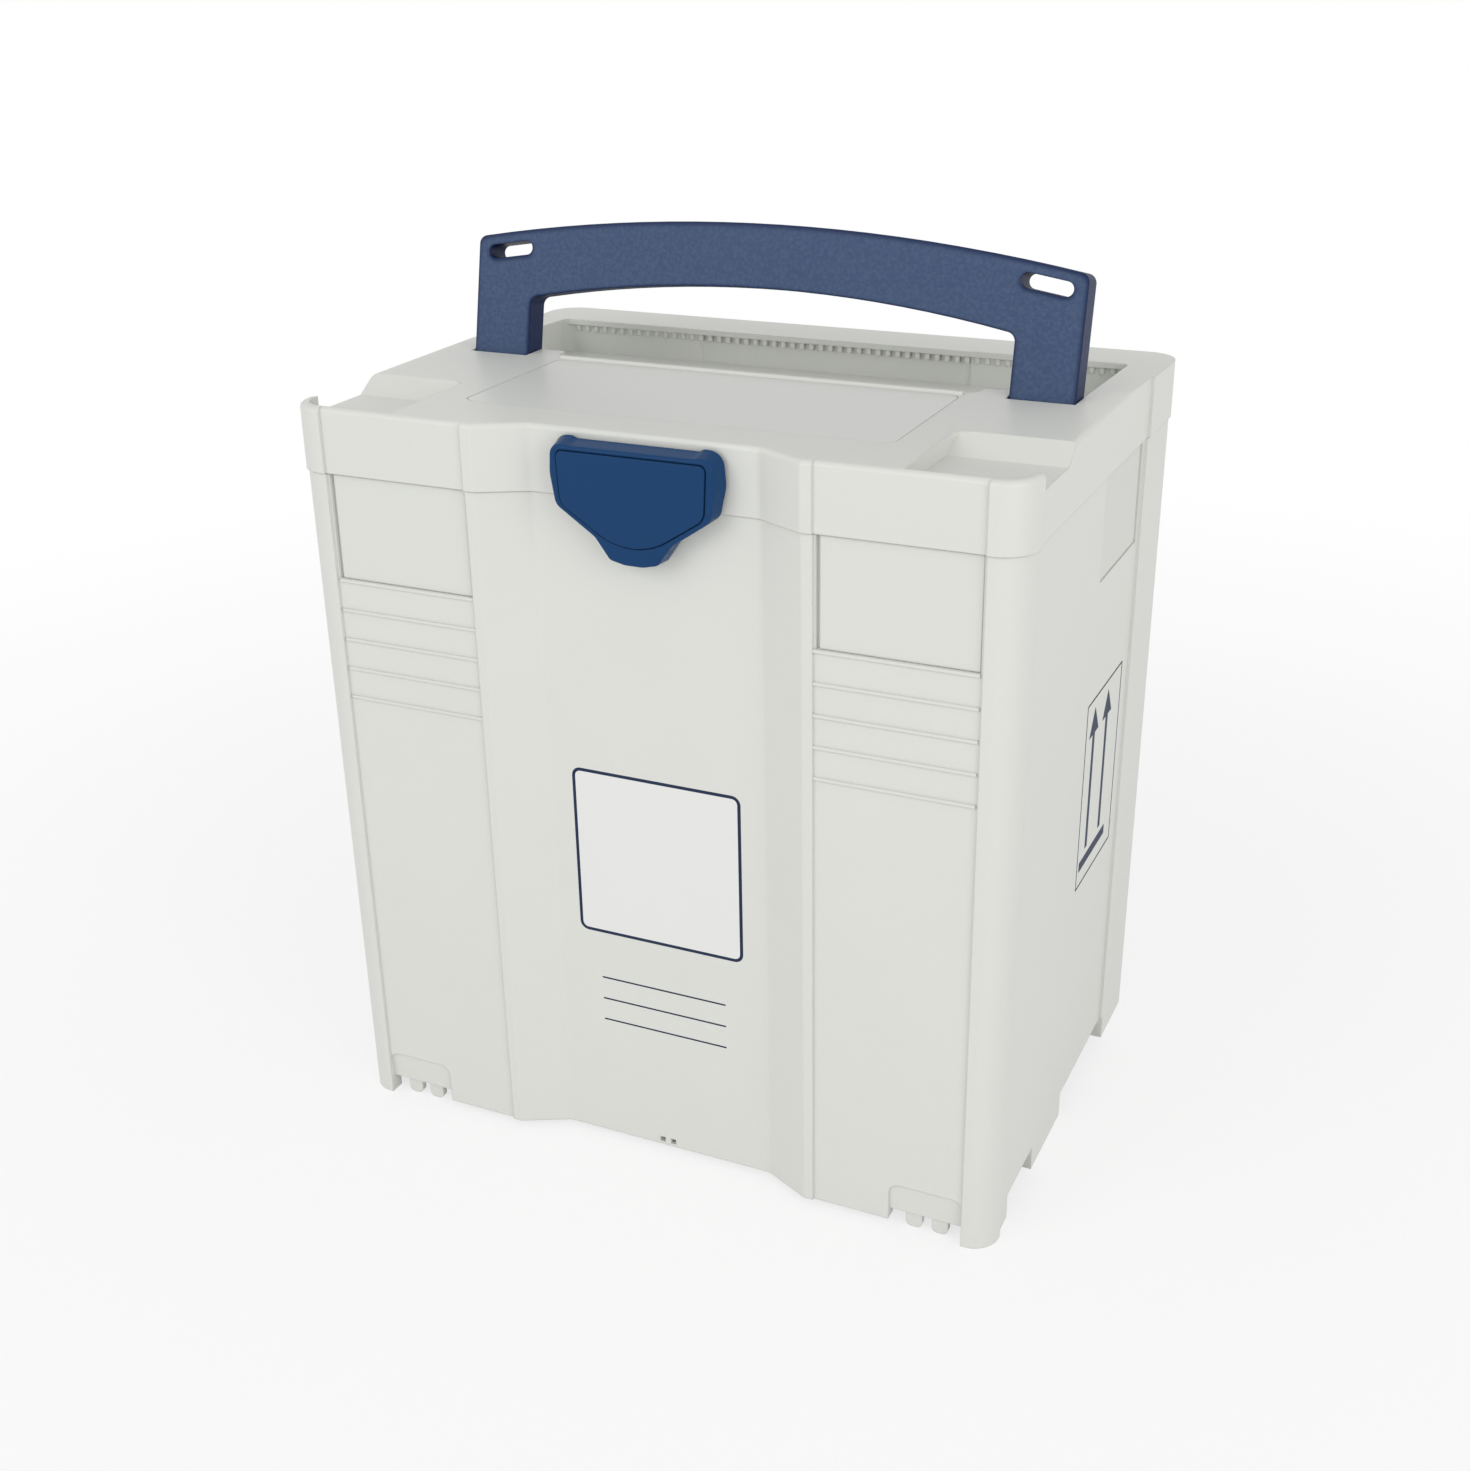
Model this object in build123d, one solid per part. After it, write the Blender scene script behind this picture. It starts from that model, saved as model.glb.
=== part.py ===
from build123d import *
import os
from math import atan2, cos, degrees, radians, sin, sqrt, tan

# Specimen transport box: a stackable moulded case with a rotary latch and a folding handle, packed with an
# insulating liner, cool packs and a leakproof inner container.
# Millimetres. X runs to the right, the latch faces -Y, +Z is up, and the feet stand on Z = 0.

# ---------------------------------------------------------------- case envelope
case_width = 396.0
case_depth = 296.0           # front corner posts to the back of the hinge barrels
seam_z = 382.0               # top edge of the base
lid_height = 35.0            # seam to the lid's top
seam_gap = 0.4
corner_radius = 18.0
cut_margin = 3.0             # how far a cutter runs past what it cuts

# ---------------------------------------------------------------- walls and draft
lid_wall = 3.0
base_inset_top = 1.2         # the lid overhangs the base by this much
base_draft_inset = 2.2       # the base narrows by this much more from seam to feet
base_wall = 5.0              # from the base's posts to its cavity
base_floor_z = 9.0           # underside of the floor, above the feet
base_floor = 3.0
skirt_wall = 9.0
lip_height = 4.0             # tongue on the base's rim that stands inside the lid
lip_clearance = 0.6

# ---------------------------------------------------------------- plan outline
post_width = 20.0            # plain post at each front corner
panel_step = 1.5             # the panels lie this far behind the posts
strip_width = 6.0            # plain strip between a front panel and the centre recess
recess_depth = 13.0
recess_floor_width = 124.0
recess_ramp_run = 26.0
recess_brow_radius = 4.0
recess_root_radius = 8.0
side_panel_rear = 77.0       # Y where a side panel ends at the rear post

# ---------------------------------------------------------------- base details
pocket_depth = 1.8
pocket_height = 57.0
pocket_margin = 1.2          # pocket edge to panel edge
side_pocket_width = 75.0
side_pocket_rear_gap = 4.5
pocket_slit = 1.8            # open slot beside a label card
pocket_slit_depth = 0.8
card_thickness = 0.8
card_gap = 0.4
rib_count = 5
rib_pitch = 16.7
rib_height = 1.8
rib_stand_off = 1.1
front_edge_z = 4.0           # bottom edge of the front and rear walls
side_edge_z = 15.0           # bottom edge of the side walls between their feet
side_edge_depth = 2.0
front_foot_end = 112.0       # distance in front of the middle where the front corner foot ends
side_foot_length = 56.0
side_foot_y = -38.0
rear_foot_start = 80.0
notch_width = 41.0
notch_height = 27.0
notch_depth = 4.0
notch_upper_depth = 1.8
notch_top_depth = 1.0
notch_corner_radius = 6.0
tooth_width = 9.0
tooth_spacing = 14.5
tooth_corner_radius = 3.5
catch_width = 17.0
catch_height = 13.0
catch_rim = 1.8
catch_stand_off = 1.4
catch_slot = 3.2
catch_slot_spacing = 6.6

# ---------------------------------------------------------------- hinge
hinge_barrel_radius = 4.8
hinge_drop = 1.0             # axis below the seam
hinge_bury = 3.6             # barrel's front to the lid's rear face
hinge_pin_radius = 2.5
hinge_running = 0.05
hinge_margin = 86.0          # middle of each hinge to the case's side
hinge_length = 64.0
hinge_knuckle = 17.0         # each of the base's outer knuckles
hinge_gap = 0.5
hinge_web_height = 22.0

# ---------------------------------------------------------------- lid details
lid_edge_radius = 2.6
lid_edge_angles = (0.0, 30.0, 60.0, 90.0)
lid_skin = 3.2
lid_ceiling = 3.0
trough_depth = 23.0
trough_front_y = 2.0
trough_rear_y = 110.0
trough_rear_step = 1.5
trough_step_x = 86.0
trough_corner_radius = 6.0
rear_rim_drop = 3.0
rim_overhang = 3.5
rim_lip_height = 3.2
tooth_row_pitch = 6.0
tooth_row_width = 2.6
tooth_row_height = 3.6
tooth_row_depth = 2.2
tooth_row_end = 4.0
corner_pocket_depth = 9.0
corner_pocket_wall = 5.0
corner_pocket_width = 61.0
corner_pocket_rear = -85.0
corner_pocket_slope = 14.0
corner_pocket_radius = 8.0
corner_pocket_post = 127.0    # distance in front of the middle where the corner wall ends
corner_pocket_rim = 5.0      # plateau's solid edge beside a corner pocket
front_block_rear = -8.0
label_width = 236.0
label_front = -106.0
label_rear = -5.0
label_bed_depth = 1.0
label_thickness = 0.9
label_gap = 0.4
label_radius = 7.0
label_rib_height = 1.6
label_rib_width = 3.0
label_rib_radius = 0.7
label_rib_gap = 0.5

# ---------------------------------------------------------------- handle
handle_margin = 22.0         # handle's side to the case's side
handle_leg_width = 35.0
handle_thickness = 16.8
handle_y = 5.5               # middle of the upright handle, and its pivot
handle_pivot_drop = 13.0     # pivot below the lid's top
handle_rise = 61.5           # outer corners above the lid's top
handle_bow = 15.5            # crown above the outer corners
handle_lean = 12.0           # degrees the raised handle rests behind upright
handle_grip_height = 33.5
handle_arm_height = 31.5
handle_corner_radius = 5.0
handle_edge_radius = 1.4
handle_side_gap = 0.8
handle_sweep_gap = 0.7
handle_pin_radius = 3.0
handle_running = 0.05
handle_pin_seat = 9.0
handle_pivot_block = 16.0
strap_slot_length = 28.0
strap_slot_width = 7.6
strap_slot_margin = 21.0     # slot's middle to the handle's side
strap_slot_drop = 9.8        # slot's middle below the outer edge
grip_pocket_depth = 9.5
grip_pocket_wall = 4.0
grip_pocket_margin = 48.0    # hollow's end to the handle's side
grip_rib_pitch = 36.0
grip_rib_width = 2.4

# ---------------------------------------------------------------- latch
latch_drop = 23.0            # spindle below the lid's top
latch_top = 15.5             # heights above and below the spindle
latch_ear_rise = 3.0
latch_ear_width = 11.0
latch_half_width = 46.5
latch_shoulder = (45.0, -11.0)
latch_waist = (22.0, -26.5)
latch_stem = (17.5, -34.0)
latch_foot = (12.0, -42.0)
latch_radii = [2.0, 2.0, 6.0, 14.0, 9.0, 12.0, 12.0, 7.0]
latch_face_step = 0.7        # the cap stands this far in front of the knob's rim
latch_taper = 12.0           # degrees
latch_rim = 2.6
latch_plate = 3.0
latch_stand_off = 2.2        # knob's rim in front of the lid's recess
latch_edge_radius = 1.6
cap_half_width = 38.5
cap_top = 12.6
cap_shoulder_drop = 6.0
cap_apex_drop = 36.0         # before its rounding
cap_corner_radius = 3.0
cap_shoulder_radius = 6.0
cap_apex_radius = 18.0
cap_thickness = 2.0
cap_gap = 0.35
spindle_radius = 5.9
spindle_running = 0.05
hub_radius = 12.0
hub_gap = 0.3
latch_boss_radius = 10.0
latch_boss_height = 6.0
spring_washer_thickness = 1.2
washer_thickness = 1.5
washer_gap = 0.1
latch_screw_radius = 2.0
latch_screw_length = 9.0
latch_screw_head_radius = 3.8
latch_screw_head_height = 2.4
screw_slot_width = 1.0
lug_radius = 27.5            # underside of the base's lug, from the spindle
lug_thickness = 4.0
lug_stand_off = 2.8
lug_half_angle = 15.0
nose_gap = 0.5
nose_thickness = 3.5
nose_half_angle = 11.0
nose_wall_gap = 0.3
latch_relief_half = 19.0
latch_end_room = 1.5

# ---------------------------------------------------------------- insulation and contents
fit_gap = 0.4                # packed contents to their seats
liner_wall = 26.0
liner_front_wall = 25.0
liner_top_drop = 9.0         # liner's rim below the seam
liner_corner_radius = 8.0
plug_inset = 8.2
plug_tongue_depth = 12.0
plug_tongue_gap = 3.0
plug_block_gap = 0.8
cool_pack_thickness = 26.0
cool_pack_height = 262.0
cool_pack_radius = 9.0
top_pack_gap = 3.0
container_wall = 2.5
container_radius = 20.0
container_gap = 7.0
container_lid_height = 12.0
container_lid_wall = 2.4
container_rim_width = 5.0
container_rim_height = 3.0
gasket_width = 3.6
gasket_height = 2.2
gasket_gap = 0.3
pad_thickness = 4.0
rack_gap = 3.0
rack_columns = 4
rack_rows = 3
rack_pitch = 56.0
rack_hole_radius = 21.0
rack_floor = 6.0
rack_count = 2
rack_headroom = 14.0

# ---------------------------------------------------------------- places worked out from the sizes
front_y = -case_depth / 2
hinge_y = case_depth / 2 - hinge_barrel_radius
hinge_z = seam_z - hinge_drop
hinge_x = case_width / 2 - hinge_margin
lid_top_z = seam_z + lid_height
rear_y = hinge_y - hinge_barrel_radius + hinge_bury
lid_bottom_z = seam_z + seam_gap
post_x = case_width / 2 - post_width
ramp_angle = atan2(recess_depth, recess_ramp_run)
recess_y = front_y + recess_depth
brow_x = recess_floor_width / 2 + recess_ramp_run
strip_x = brow_x + strip_width
side_panel_front = front_y + post_width
cavity_inset_top = base_inset_top + base_wall
cavity_inset_bottom = cavity_inset_top + base_draft_inset
base_floor_top = base_floor_z + base_floor
lip_top_z = seam_z + lip_height
trough_floor_z = lid_top_z - trough_depth
lid_ceiling_z = trough_floor_z - lid_ceiling
handle_half_width = case_width / 2 - handle_margin
handle_pivot_z = lid_top_z - handle_pivot_drop
handle_shoulder_z = lid_top_z + handle_rise
handle_crown_z = handle_shoulder_z + handle_bow
trough_half = handle_half_width + handle_side_gap
strap_slot_x = handle_half_width - strap_slot_margin
grip_pocket_half = handle_half_width - grip_pocket_margin
latch_z = lid_top_z - latch_drop
corner_pocket_start = case_width / 2 - corner_pocket_width
front_block_x = corner_pocket_start - corner_pocket_rim
handle_half_thickness = handle_thickness / 2
pocket_bottom_z = seam_z - pocket_height
corner_pocket_floor_z = lid_top_z - corner_pocket_depth
liner_top_z = seam_z - liner_top_drop
liner_bottom_z = base_floor_top + fit_gap
liner_floor_z = liner_bottom_z + liner_wall
latch_back_y = recess_y - latch_stand_off
latch_face_y = front_y + latch_face_step
spindle_end_y = recess_y + lid_wall + latch_boss_height + spring_washer_thickness + 2 * washer_gap


def base_inset(z):
    """Distance of the base's outer face behind the lid's, at a height."""
    return base_inset_top + base_draft_inset * (seam_z - z) / seam_z


def outline(inset, stepped=True):
    """Plan outline of the case drawn in by the inset; stepped adds the panel steps."""
    half = case_width / 2 - inset
    front = front_y + inset
    rear = rear_y - inset
    shift = inset * tan(ramp_angle / 2)
    corner = corner_radius - inset
    points = [(recess_floor_width / 2 + shift, front + recess_depth), (brow_x + shift, front)]
    radii = [recess_root_radius, recess_brow_radius]
    if stepped:
        panel = front + panel_step
        points += [(strip_x, front), (strip_x, panel), (post_x, panel), (post_x, front)]
        radii += [0, 0, 0, 0]
    points.append((half, front))
    radii.append(corner)
    if stepped:
        side = half - panel_step
        points += [(half, side_panel_front), (side, side_panel_front)]
        points += [(side, side_panel_rear), (half, side_panel_rear)]
        radii += [0, 0, 0, 0]
    points.append((half, rear))
    radii.append(corner)
    mirrored = [(-x, y) for x, y in reversed(points)]
    return make_face(FilletPolyline(*points, *mirrored, radius=radii + radii[::-1], close=True))


def at_height(sketch, z):
    """A plan sketch lifted to a height."""
    return Pos(0, 0, z) * sketch


def prism(inset_low, z_low, inset_high, z_high, stepped=False):
    """Solid between two outlines of the case."""
    low = at_height(outline(inset_low, stepped), z_low)
    high = at_height(outline(inset_high, stepped), z_high)
    return loft([low, high], ruled=True)


def block(x0, x1, y0, y1, z0, z1):
    """Box between two corners."""
    size = (x1 - x0, y1 - y0, z1 - z0)
    return Pos(x0, y0, z0) * Box(*size, align=(Align.MIN, Align.MIN, Align.MIN))


def both_sides(shape):
    """A shape of the right half together with its mirror image."""
    return [shape, mirror(shape, about=Plane.YZ)]


def rod_x(radius, x0, x1, y, z):
    """Cylinder along X."""
    return Pos((x0 + x1) / 2, y, z) * Rot(0, 90, 0) * Cylinder(radius, x1 - x0)


def rod_y(radius, y0, y1, x=0.0, z=0.0):
    """Cylinder along Y."""
    return Pos(x, (y0 + y1) / 2, z) * Rot(90, 0, 0) * Cylinder(radius, y1 - y0)


def facing_front(sketch, y_front, y_back):
    """Extrude a sketch drawn in X and Z from a front plane back to another."""
    return extrude(Plane((0, y_back, 0), x_dir=(1, 0, 0), z_dir=(0, -1, 0)) * sketch, y_back - y_front)


def along_x(sketch, x0, x1):
    """Extrude a sketch drawn in Y and Z along X."""
    return extrude(Plane((x0, 0, 0), x_dir=(0, 1, 0), z_dir=(1, 0, 0)) * sketch, x1 - x0)


def sector(inner, outer, half_angle, toward=-90.0):
    """Ring sector about the spindle, in X and Z."""
    ring = Circle(outer) - Circle(inner)
    reach = 2 * outer
    edge = reach * tan(radians(half_angle))
    wedge = make_face(Polyline((0, 0), (reach, -edge), (reach, edge), close=True))
    return Pos(0, latch_z) * Rot(0, 0, toward) * (ring & wedge)


def hinge_spans():
    """X ranges of the base's outer knuckles and the lid's middle knuckle on the right."""
    x0 = hinge_x - hinge_length / 2
    x1 = hinge_x + hinge_length / 2
    base = [(x0, x0 + hinge_knuckle), (x1 - hinge_knuckle, x1)]
    lid = [(x0 + hinge_knuckle + hinge_gap, x1 - hinge_knuckle - hinge_gap)]
    return base, lid


# ---------------------------------------------------------------- base
def pocket_cuts():
    """Label pockets of the front and side panels, each with a slit beside its card."""
    floor_y = front_y + base_inset_top + panel_step + pocket_depth
    floor_x = case_width / 2 - base_inset_top - panel_step - pocket_depth
    cuts = []
    for x0, x1 in front_pocket_spans():
        cuts.append(block(x0, x1, front_y - cut_margin, floor_y, pocket_bottom_z, seam_z))
        slit_y = floor_y + pocket_slit_depth
        cuts.append(block(x0, x0 + pocket_slit, front_y - cut_margin, slit_y, pocket_bottom_z, seam_z))
    y0, y1 = side_pocket_span()
    reach = case_width / 2 + cut_margin
    cuts += both_sides(block(floor_x, reach, y0, y1, pocket_bottom_z, seam_z))
    cuts += both_sides(block(floor_x - pocket_slit_depth, reach, y1 - pocket_slit, y1, pocket_bottom_z, seam_z))
    return cuts


def front_pocket_spans():
    """X ranges of the two front label pockets."""
    near = strip_x + pocket_margin
    far = post_x - pocket_margin
    return [(-far, -near), (near, far)]


def side_pocket_span():
    """Y range of a side label pocket."""
    rear = side_panel_rear - side_pocket_rear_gap
    return rear - side_pocket_width, rear


def front_ribs():
    """Thin ribs across the front panels, from the foot of the label pockets down."""
    ribs = []
    for row in range(rib_count):
        z = pocket_bottom_z - row * rib_pitch
        face = front_y + panel_step + base_inset(z)
        rib = block(strip_x, post_x - pocket_margin, face - rib_stand_off, face + rib_stand_off, z - rib_height, z)
        ribs += both_sides(rib)
    return ribs


def foot_notch():
    """Recess above the front coupling teeth of the right foot."""
    x1 = post_x
    x0 = x1 - notch_width
    face = front_y + panel_step + base_inset(0)
    front = front_y - cut_margin
    profile = [(front, -cut_margin), (face + notch_depth, -cut_margin), (face + notch_depth, base_floor_z)]
    profile += [(face + notch_upper_depth, base_floor_z + 1), (face + notch_top_depth, notch_height)]
    profile.append((front, notch_height))
    sloped = along_x(make_face(Polyline(*profile, close=True)), x0, x1)
    window = Pos((x0 + x1) / 2, 0) * RectangleRounded(notch_width, 2 * notch_height, notch_corner_radius)
    through = block(x0, x1, front, front_y + base_inset(0) + skirt_wall, -cut_margin, base_floor_z)
    return (sloped & facing_front(window, front, face + 2 * notch_depth)) + through


def foot_teeth():
    """Two rounded coupling teeth in the right foot's notch."""
    middle = post_x - notch_width / 2
    back = front_y + base_inset(0) + skirt_wall
    front = front_y + panel_step + base_inset(0) + notch_depth
    height = base_floor_z + 2 * tooth_corner_radius
    shape = RectangleRounded(tooth_width, height, tooth_corner_radius, align=(Align.CENTER, Align.MIN))
    teeth = [facing_front(Pos(middle + side * tooth_spacing / 2, 0) * shape, front, back) for side in (-1, 1)]
    limit = block(middle - notch_width, middle + notch_width, front, back, 0, base_floor_z)
    return [tooth & limit for tooth in teeth]


def edge_cuts():
    """Raised bottom edges between the feet."""
    reach_x = case_width / 2 + cut_margin
    cuts = [block(-post_x, post_x, front_y - cut_margin, rear_y + cut_margin, -cut_margin, front_edge_z)]
    inner_x = case_width / 2 - base_inset(0) - panel_step - side_edge_depth
    foot_start = side_foot_y - side_foot_length / 2
    foot_end = side_foot_y + side_foot_length / 2
    for y0, y1 in ((-front_foot_end, foot_start), (foot_end, rear_foot_start)):
        cuts += both_sides(block(post_x - skirt_wall, reach_x, y0, y1, -cut_margin, base_floor_z))
        cuts += both_sides(block(inner_x, reach_x, y0, y1, 0, side_edge_z))
    return cuts


def bottom_catch():
    """Arched frame low on the front, round two slots that take the latch of a box below."""
    face = recess_y + base_inset(0)
    top = front_edge_z + catch_height
    outer = SlotOverall(2 * top, catch_width, rotation=90)
    inner = SlotOverall(2 * (top - catch_rim), catch_width - 2 * catch_rim, rotation=90)
    upper = Rectangle(2 * catch_width, 2 * catch_height, align=(Align.CENTER, Align.MIN))
    frame = (outer - inner) & (Pos(0, front_edge_z - cut_margin) * upper)
    return facing_front(frame, face - catch_stand_off, face + catch_stand_off)


def catch_slots():
    """The two square slots of the bottom catch."""
    face = recess_y + base_inset(0)
    z = front_edge_z + catch_slot
    square = Rectangle(catch_slot, catch_slot)
    back = face + skirt_wall + cut_margin
    return [facing_front(Pos(x, z) * square, face - cut_margin, back)
            for x in (-catch_slot_spacing / 2, catch_slot_spacing / 2)]


def knuckle(x0, x1, foot_y, foot_z):
    """Hinge barrel with a web that runs to a foot on the wall in front of it."""
    barrel = rod_x(hinge_barrel_radius, x0, x1, hinge_y, hinge_z)
    toward = 1 if foot_z > hinge_z else -1
    edge = hinge_y + hinge_barrel_radius * cos(radians(20))
    start = hinge_z + toward * hinge_barrel_radius * sin(radians(20))
    profile = [(foot_y - 1, hinge_z), (edge, start), (foot_y, foot_z), (foot_y - 1, foot_z)]
    web = along_x(make_face(Polyline(*profile, close=True)), x0, x1)
    return barrel + (web & block(x0, x1, foot_y - 1, edge, min(start, foot_z), max(start, foot_z)))


def base_shell():
    """The moulded lower box."""
    body = prism(base_inset(0), 0, base_inset_top, seam_z, stepped=True)
    lip_inset = lid_wall + lip_clearance
    body += prism(lip_inset, seam_z - 1, lip_inset, lip_top_z)
    for cut in pocket_cuts():
        body -= cut
    body -= prism(cavity_inset_bottom, base_floor_top, cavity_inset(lip_top_z), lip_top_z + 0.01)
    underside = base_inset_top + base_draft_inset + skirt_wall
    body -= prism(underside, -1, underside, base_floor_z)
    body -= block(-latch_relief_half, latch_relief_half, front_y, latch_relief_y(), seam_z, lip_top_z + 1)
    body += bottom_catch()
    for cut in edge_cuts() + both_sides(foot_notch()) + catch_slots():
        body -= cut
    for tooth in foot_teeth():
        body += both_sides(tooth)
    body += front_ribs()
    body += latch_lug()
    base_spans, lid_spans = hinge_spans()
    wall_y = rear_y - base_inset_top
    for x0, x1 in lid_spans:
        body -= both_sides(rod_x(hinge_barrel_radius + hinge_gap, x0 - hinge_gap, x1 + hinge_gap, hinge_y, hinge_z))
    for x0, x1 in base_spans:
        body += both_sides(knuckle(x0, x1, wall_y, hinge_z - hinge_web_height))
    body -= both_sides(hinge_rod(hinge_pin_radius))
    return body


def cavity_inset(z):
    """Distance of the base's inner face behind the lid's outer face, at a height."""
    return base_inset(z) + base_wall


def latch_relief_y():
    """Back of the clear space round the inner end of the latch."""
    return spindle_end_y + washer_thickness + latch_screw_head_height + latch_end_room


def latch_lug():
    """Curved ledge on the base that the latch's nose turns in under."""
    face = recess_y + base_inset_top
    arc = sector(lug_radius - lug_thickness, lug_radius, lug_half_angle)
    return facing_front(arc, face - lug_stand_off, face + lug_stand_off / 2)


def hinge_rod(radius):
    """Cylinder the length of the right hinge."""
    return rod_x(radius, hinge_x - hinge_length / 2, hinge_x + hinge_length / 2, hinge_y, hinge_z)


# ---------------------------------------------------------------- lid
def lid_blank():
    """Solid outer form of the lid with its rounded top edge."""
    low = at_height(outline(0), lid_bottom_z)
    rounds = []
    for angle in lid_edge_angles:
        turn = radians(angle)
        inset = lid_edge_radius * (1 - cos(turn))
        rounds.append(at_height(outline(inset), lid_top_z - lid_edge_radius * (1 - sin(turn))))
    return loft([low, *rounds], ruled=True)


def rear_fall():
    """Wedge above the rear half of the lid, whose top falls toward the rear rim."""
    rim_z = lid_top_z - rear_rim_drop
    reach = case_width / 2 + cut_margin
    start = handle_y + handle_pivot_block / 2
    profile = [(start, lid_top_z), (trough_rear_y, rim_z), (rear_y + cut_margin, rim_z)]
    profile += [(rear_y + cut_margin, lid_top_z + cut_margin), (start, lid_top_z + cut_margin)]
    return along_x(make_face(Polyline(*profile, close=True)), -reach, reach)


def trough():
    """Hollow for the folded handle: finger room, two leg wells and a stepped rear wall."""
    block_rear = handle_y + handle_pivot_block / 2
    well_front = handle_y - handle_half_thickness - handle_sweep_gap
    leg_inner = handle_half_width - handle_leg_width - handle_side_gap
    block_inner = leg_inner - handle_pivot_block
    right = [(block_inner, trough_front_y), (block_inner, block_rear), (leg_inner, block_rear)]
    right += [(leg_inner, well_front), (trough_half, well_front), (trough_half, trough_rear_y - trough_rear_step)]
    right += [(trough_step_x, trough_rear_y - trough_rear_step), (trough_step_x - trough_rear_step, trough_rear_y)]
    radii = [trough_corner_radius, trough_corner_radius / 3, trough_corner_radius / 4, 0, 0]
    radii += [trough_corner_radius, 0, 0]
    left = [(-x, y) for x, y in reversed(right)]
    plan = make_face(FilletPolyline(*right, *left, radius=radii + radii[::-1], close=True))
    return extrude(at_height(plan, trough_floor_z), lid_top_z - trough_floor_z + cut_margin)


def rim_lip():
    """Overhanging inner edge of the rear rim."""
    rim_z = lid_top_z - rear_rim_drop
    front = trough_rear_y - rim_overhang
    return block(-trough_half - 1, trough_half + 1, front, trough_rear_y + 1, rim_z - rim_lip_height, rim_z)


def rim_teeth():
    """Row of small teeth that hangs under the rear rim's overhang."""
    top = lid_top_z - rear_rim_drop - rim_lip_height
    back = trough_rear_y - trough_rear_step / 2
    count = int((trough_half - tooth_row_end) / tooth_row_pitch)
    one = Box(tooth_row_width, tooth_row_depth, tooth_row_height + 0.5, align=(Align.CENTER, Align.MAX, Align.MAX))
    return [Pos(step * tooth_row_pitch, back, top + 0.5) * one for step in range(-count, count + 1)]


def corner_pocket():
    """Socket in the right front corner of the lid for the foot of a box above."""
    start = corner_pocket_rear
    top = lid_top_z + cut_margin
    slope = corner_pocket_slope * (top - corner_pocket_floor_z) / corner_pocket_depth
    front = front_y - cut_margin
    profile = [(front, corner_pocket_floor_z), (start, corner_pocket_floor_z), (start + slope, top), (front, top)]
    reach = case_width / 2 + cut_margin
    hollow = along_x(make_face(Polyline(*profile, close=True)), corner_pocket_start, reach)
    width = 2 * (reach - corner_pocket_start)
    rear = corner_pocket_rear + corner_pocket_slope
    depth = 2 * (rear - front_y)
    rounded = Pos(corner_pocket_start + width / 2, rear - depth / 2)
    corners = rounded * RectangleRounded(width, depth, corner_pocket_radius)
    plan = outline(corner_pocket_wall, stepped=False) & corners
    inside = extrude(at_height(plan, corner_pocket_floor_z - 1), corner_pocket_depth + 2 * cut_margin)
    side = case_width / 2 - corner_pocket_wall - 1
    opening = block(side, reach, -corner_pocket_post, rear, corner_pocket_floor_z - 1, top)
    return (hollow & inside) + (hollow & opening)


def lid_hollows():
    """Spaces under the lid's top that leave an even skin."""
    inner = outline(lid_wall, stepped=False)
    floor = lid_ceiling_z - 0.5
    top = lid_top_z - lid_skin
    rim_top = top - rear_rim_drop
    well_front = handle_y - handle_half_thickness - handle_sweep_gap - lid_wall
    pocket_rear = corner_pocket_rear + corner_pocket_slope + lid_wall
    zones = [
        (-front_block_x, front_block_x, front_y, front_block_rear, top),
        (front_block_x + lid_wall, case_width / 2, pocket_rear, well_front, top),
        (corner_pocket_start + lid_wall, case_width / 2 - corner_pocket_wall, front_y, corner_pocket_rear - lid_wall,
         corner_pocket_floor_z - lid_wall),
        (trough_half + lid_wall, case_width / 2, handle_y + handle_pivot_block, rear_y, rim_top),
        (-trough_half - lid_wall - 1, trough_half + lid_wall + 1, trough_rear_y + lid_wall, rear_y, rim_top),
    ]
    hollows = []
    for x0, x1, y0, y1, z1 in zones:
        space = block(x0, x1, y0, y1, floor, z1) & extrude(at_height(inner, floor), z1 - floor)
        hollows += [space] if x0 < 0 else both_sides(space)
    return hollows


def label_bed(gap, z0, z1):
    """Rounded plate shape of the lid's label, drawn in by a gap."""
    width = label_width - 2 * gap
    depth = label_rear - label_front - 2 * gap
    plan = Pos(0, (label_front + label_rear) / 2) * RectangleRounded(width, depth, label_radius - gap)
    return extrude(at_height(plan, z0), z1 - z0)


def label_rib():
    """Raised bar along the label's rear edge."""
    y0 = label_rear + label_rib_gap
    half = label_width / 2
    bar = block(-half, half, y0, y0 + label_rib_width, lid_top_z - 1, lid_top_z + label_rib_height)
    return fillet(bar.faces().sort_by(Axis.Z)[-1].edges(), label_rib_radius)


def handle_pin(radius):
    """Right handle pivot, from the block inside the leg to the seat outside it."""
    inner = handle_half_width - handle_leg_width - handle_side_gap - handle_pin_seat
    return rod_x(radius, inner, trough_half + handle_pin_seat, handle_y, handle_pivot_z)


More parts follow.
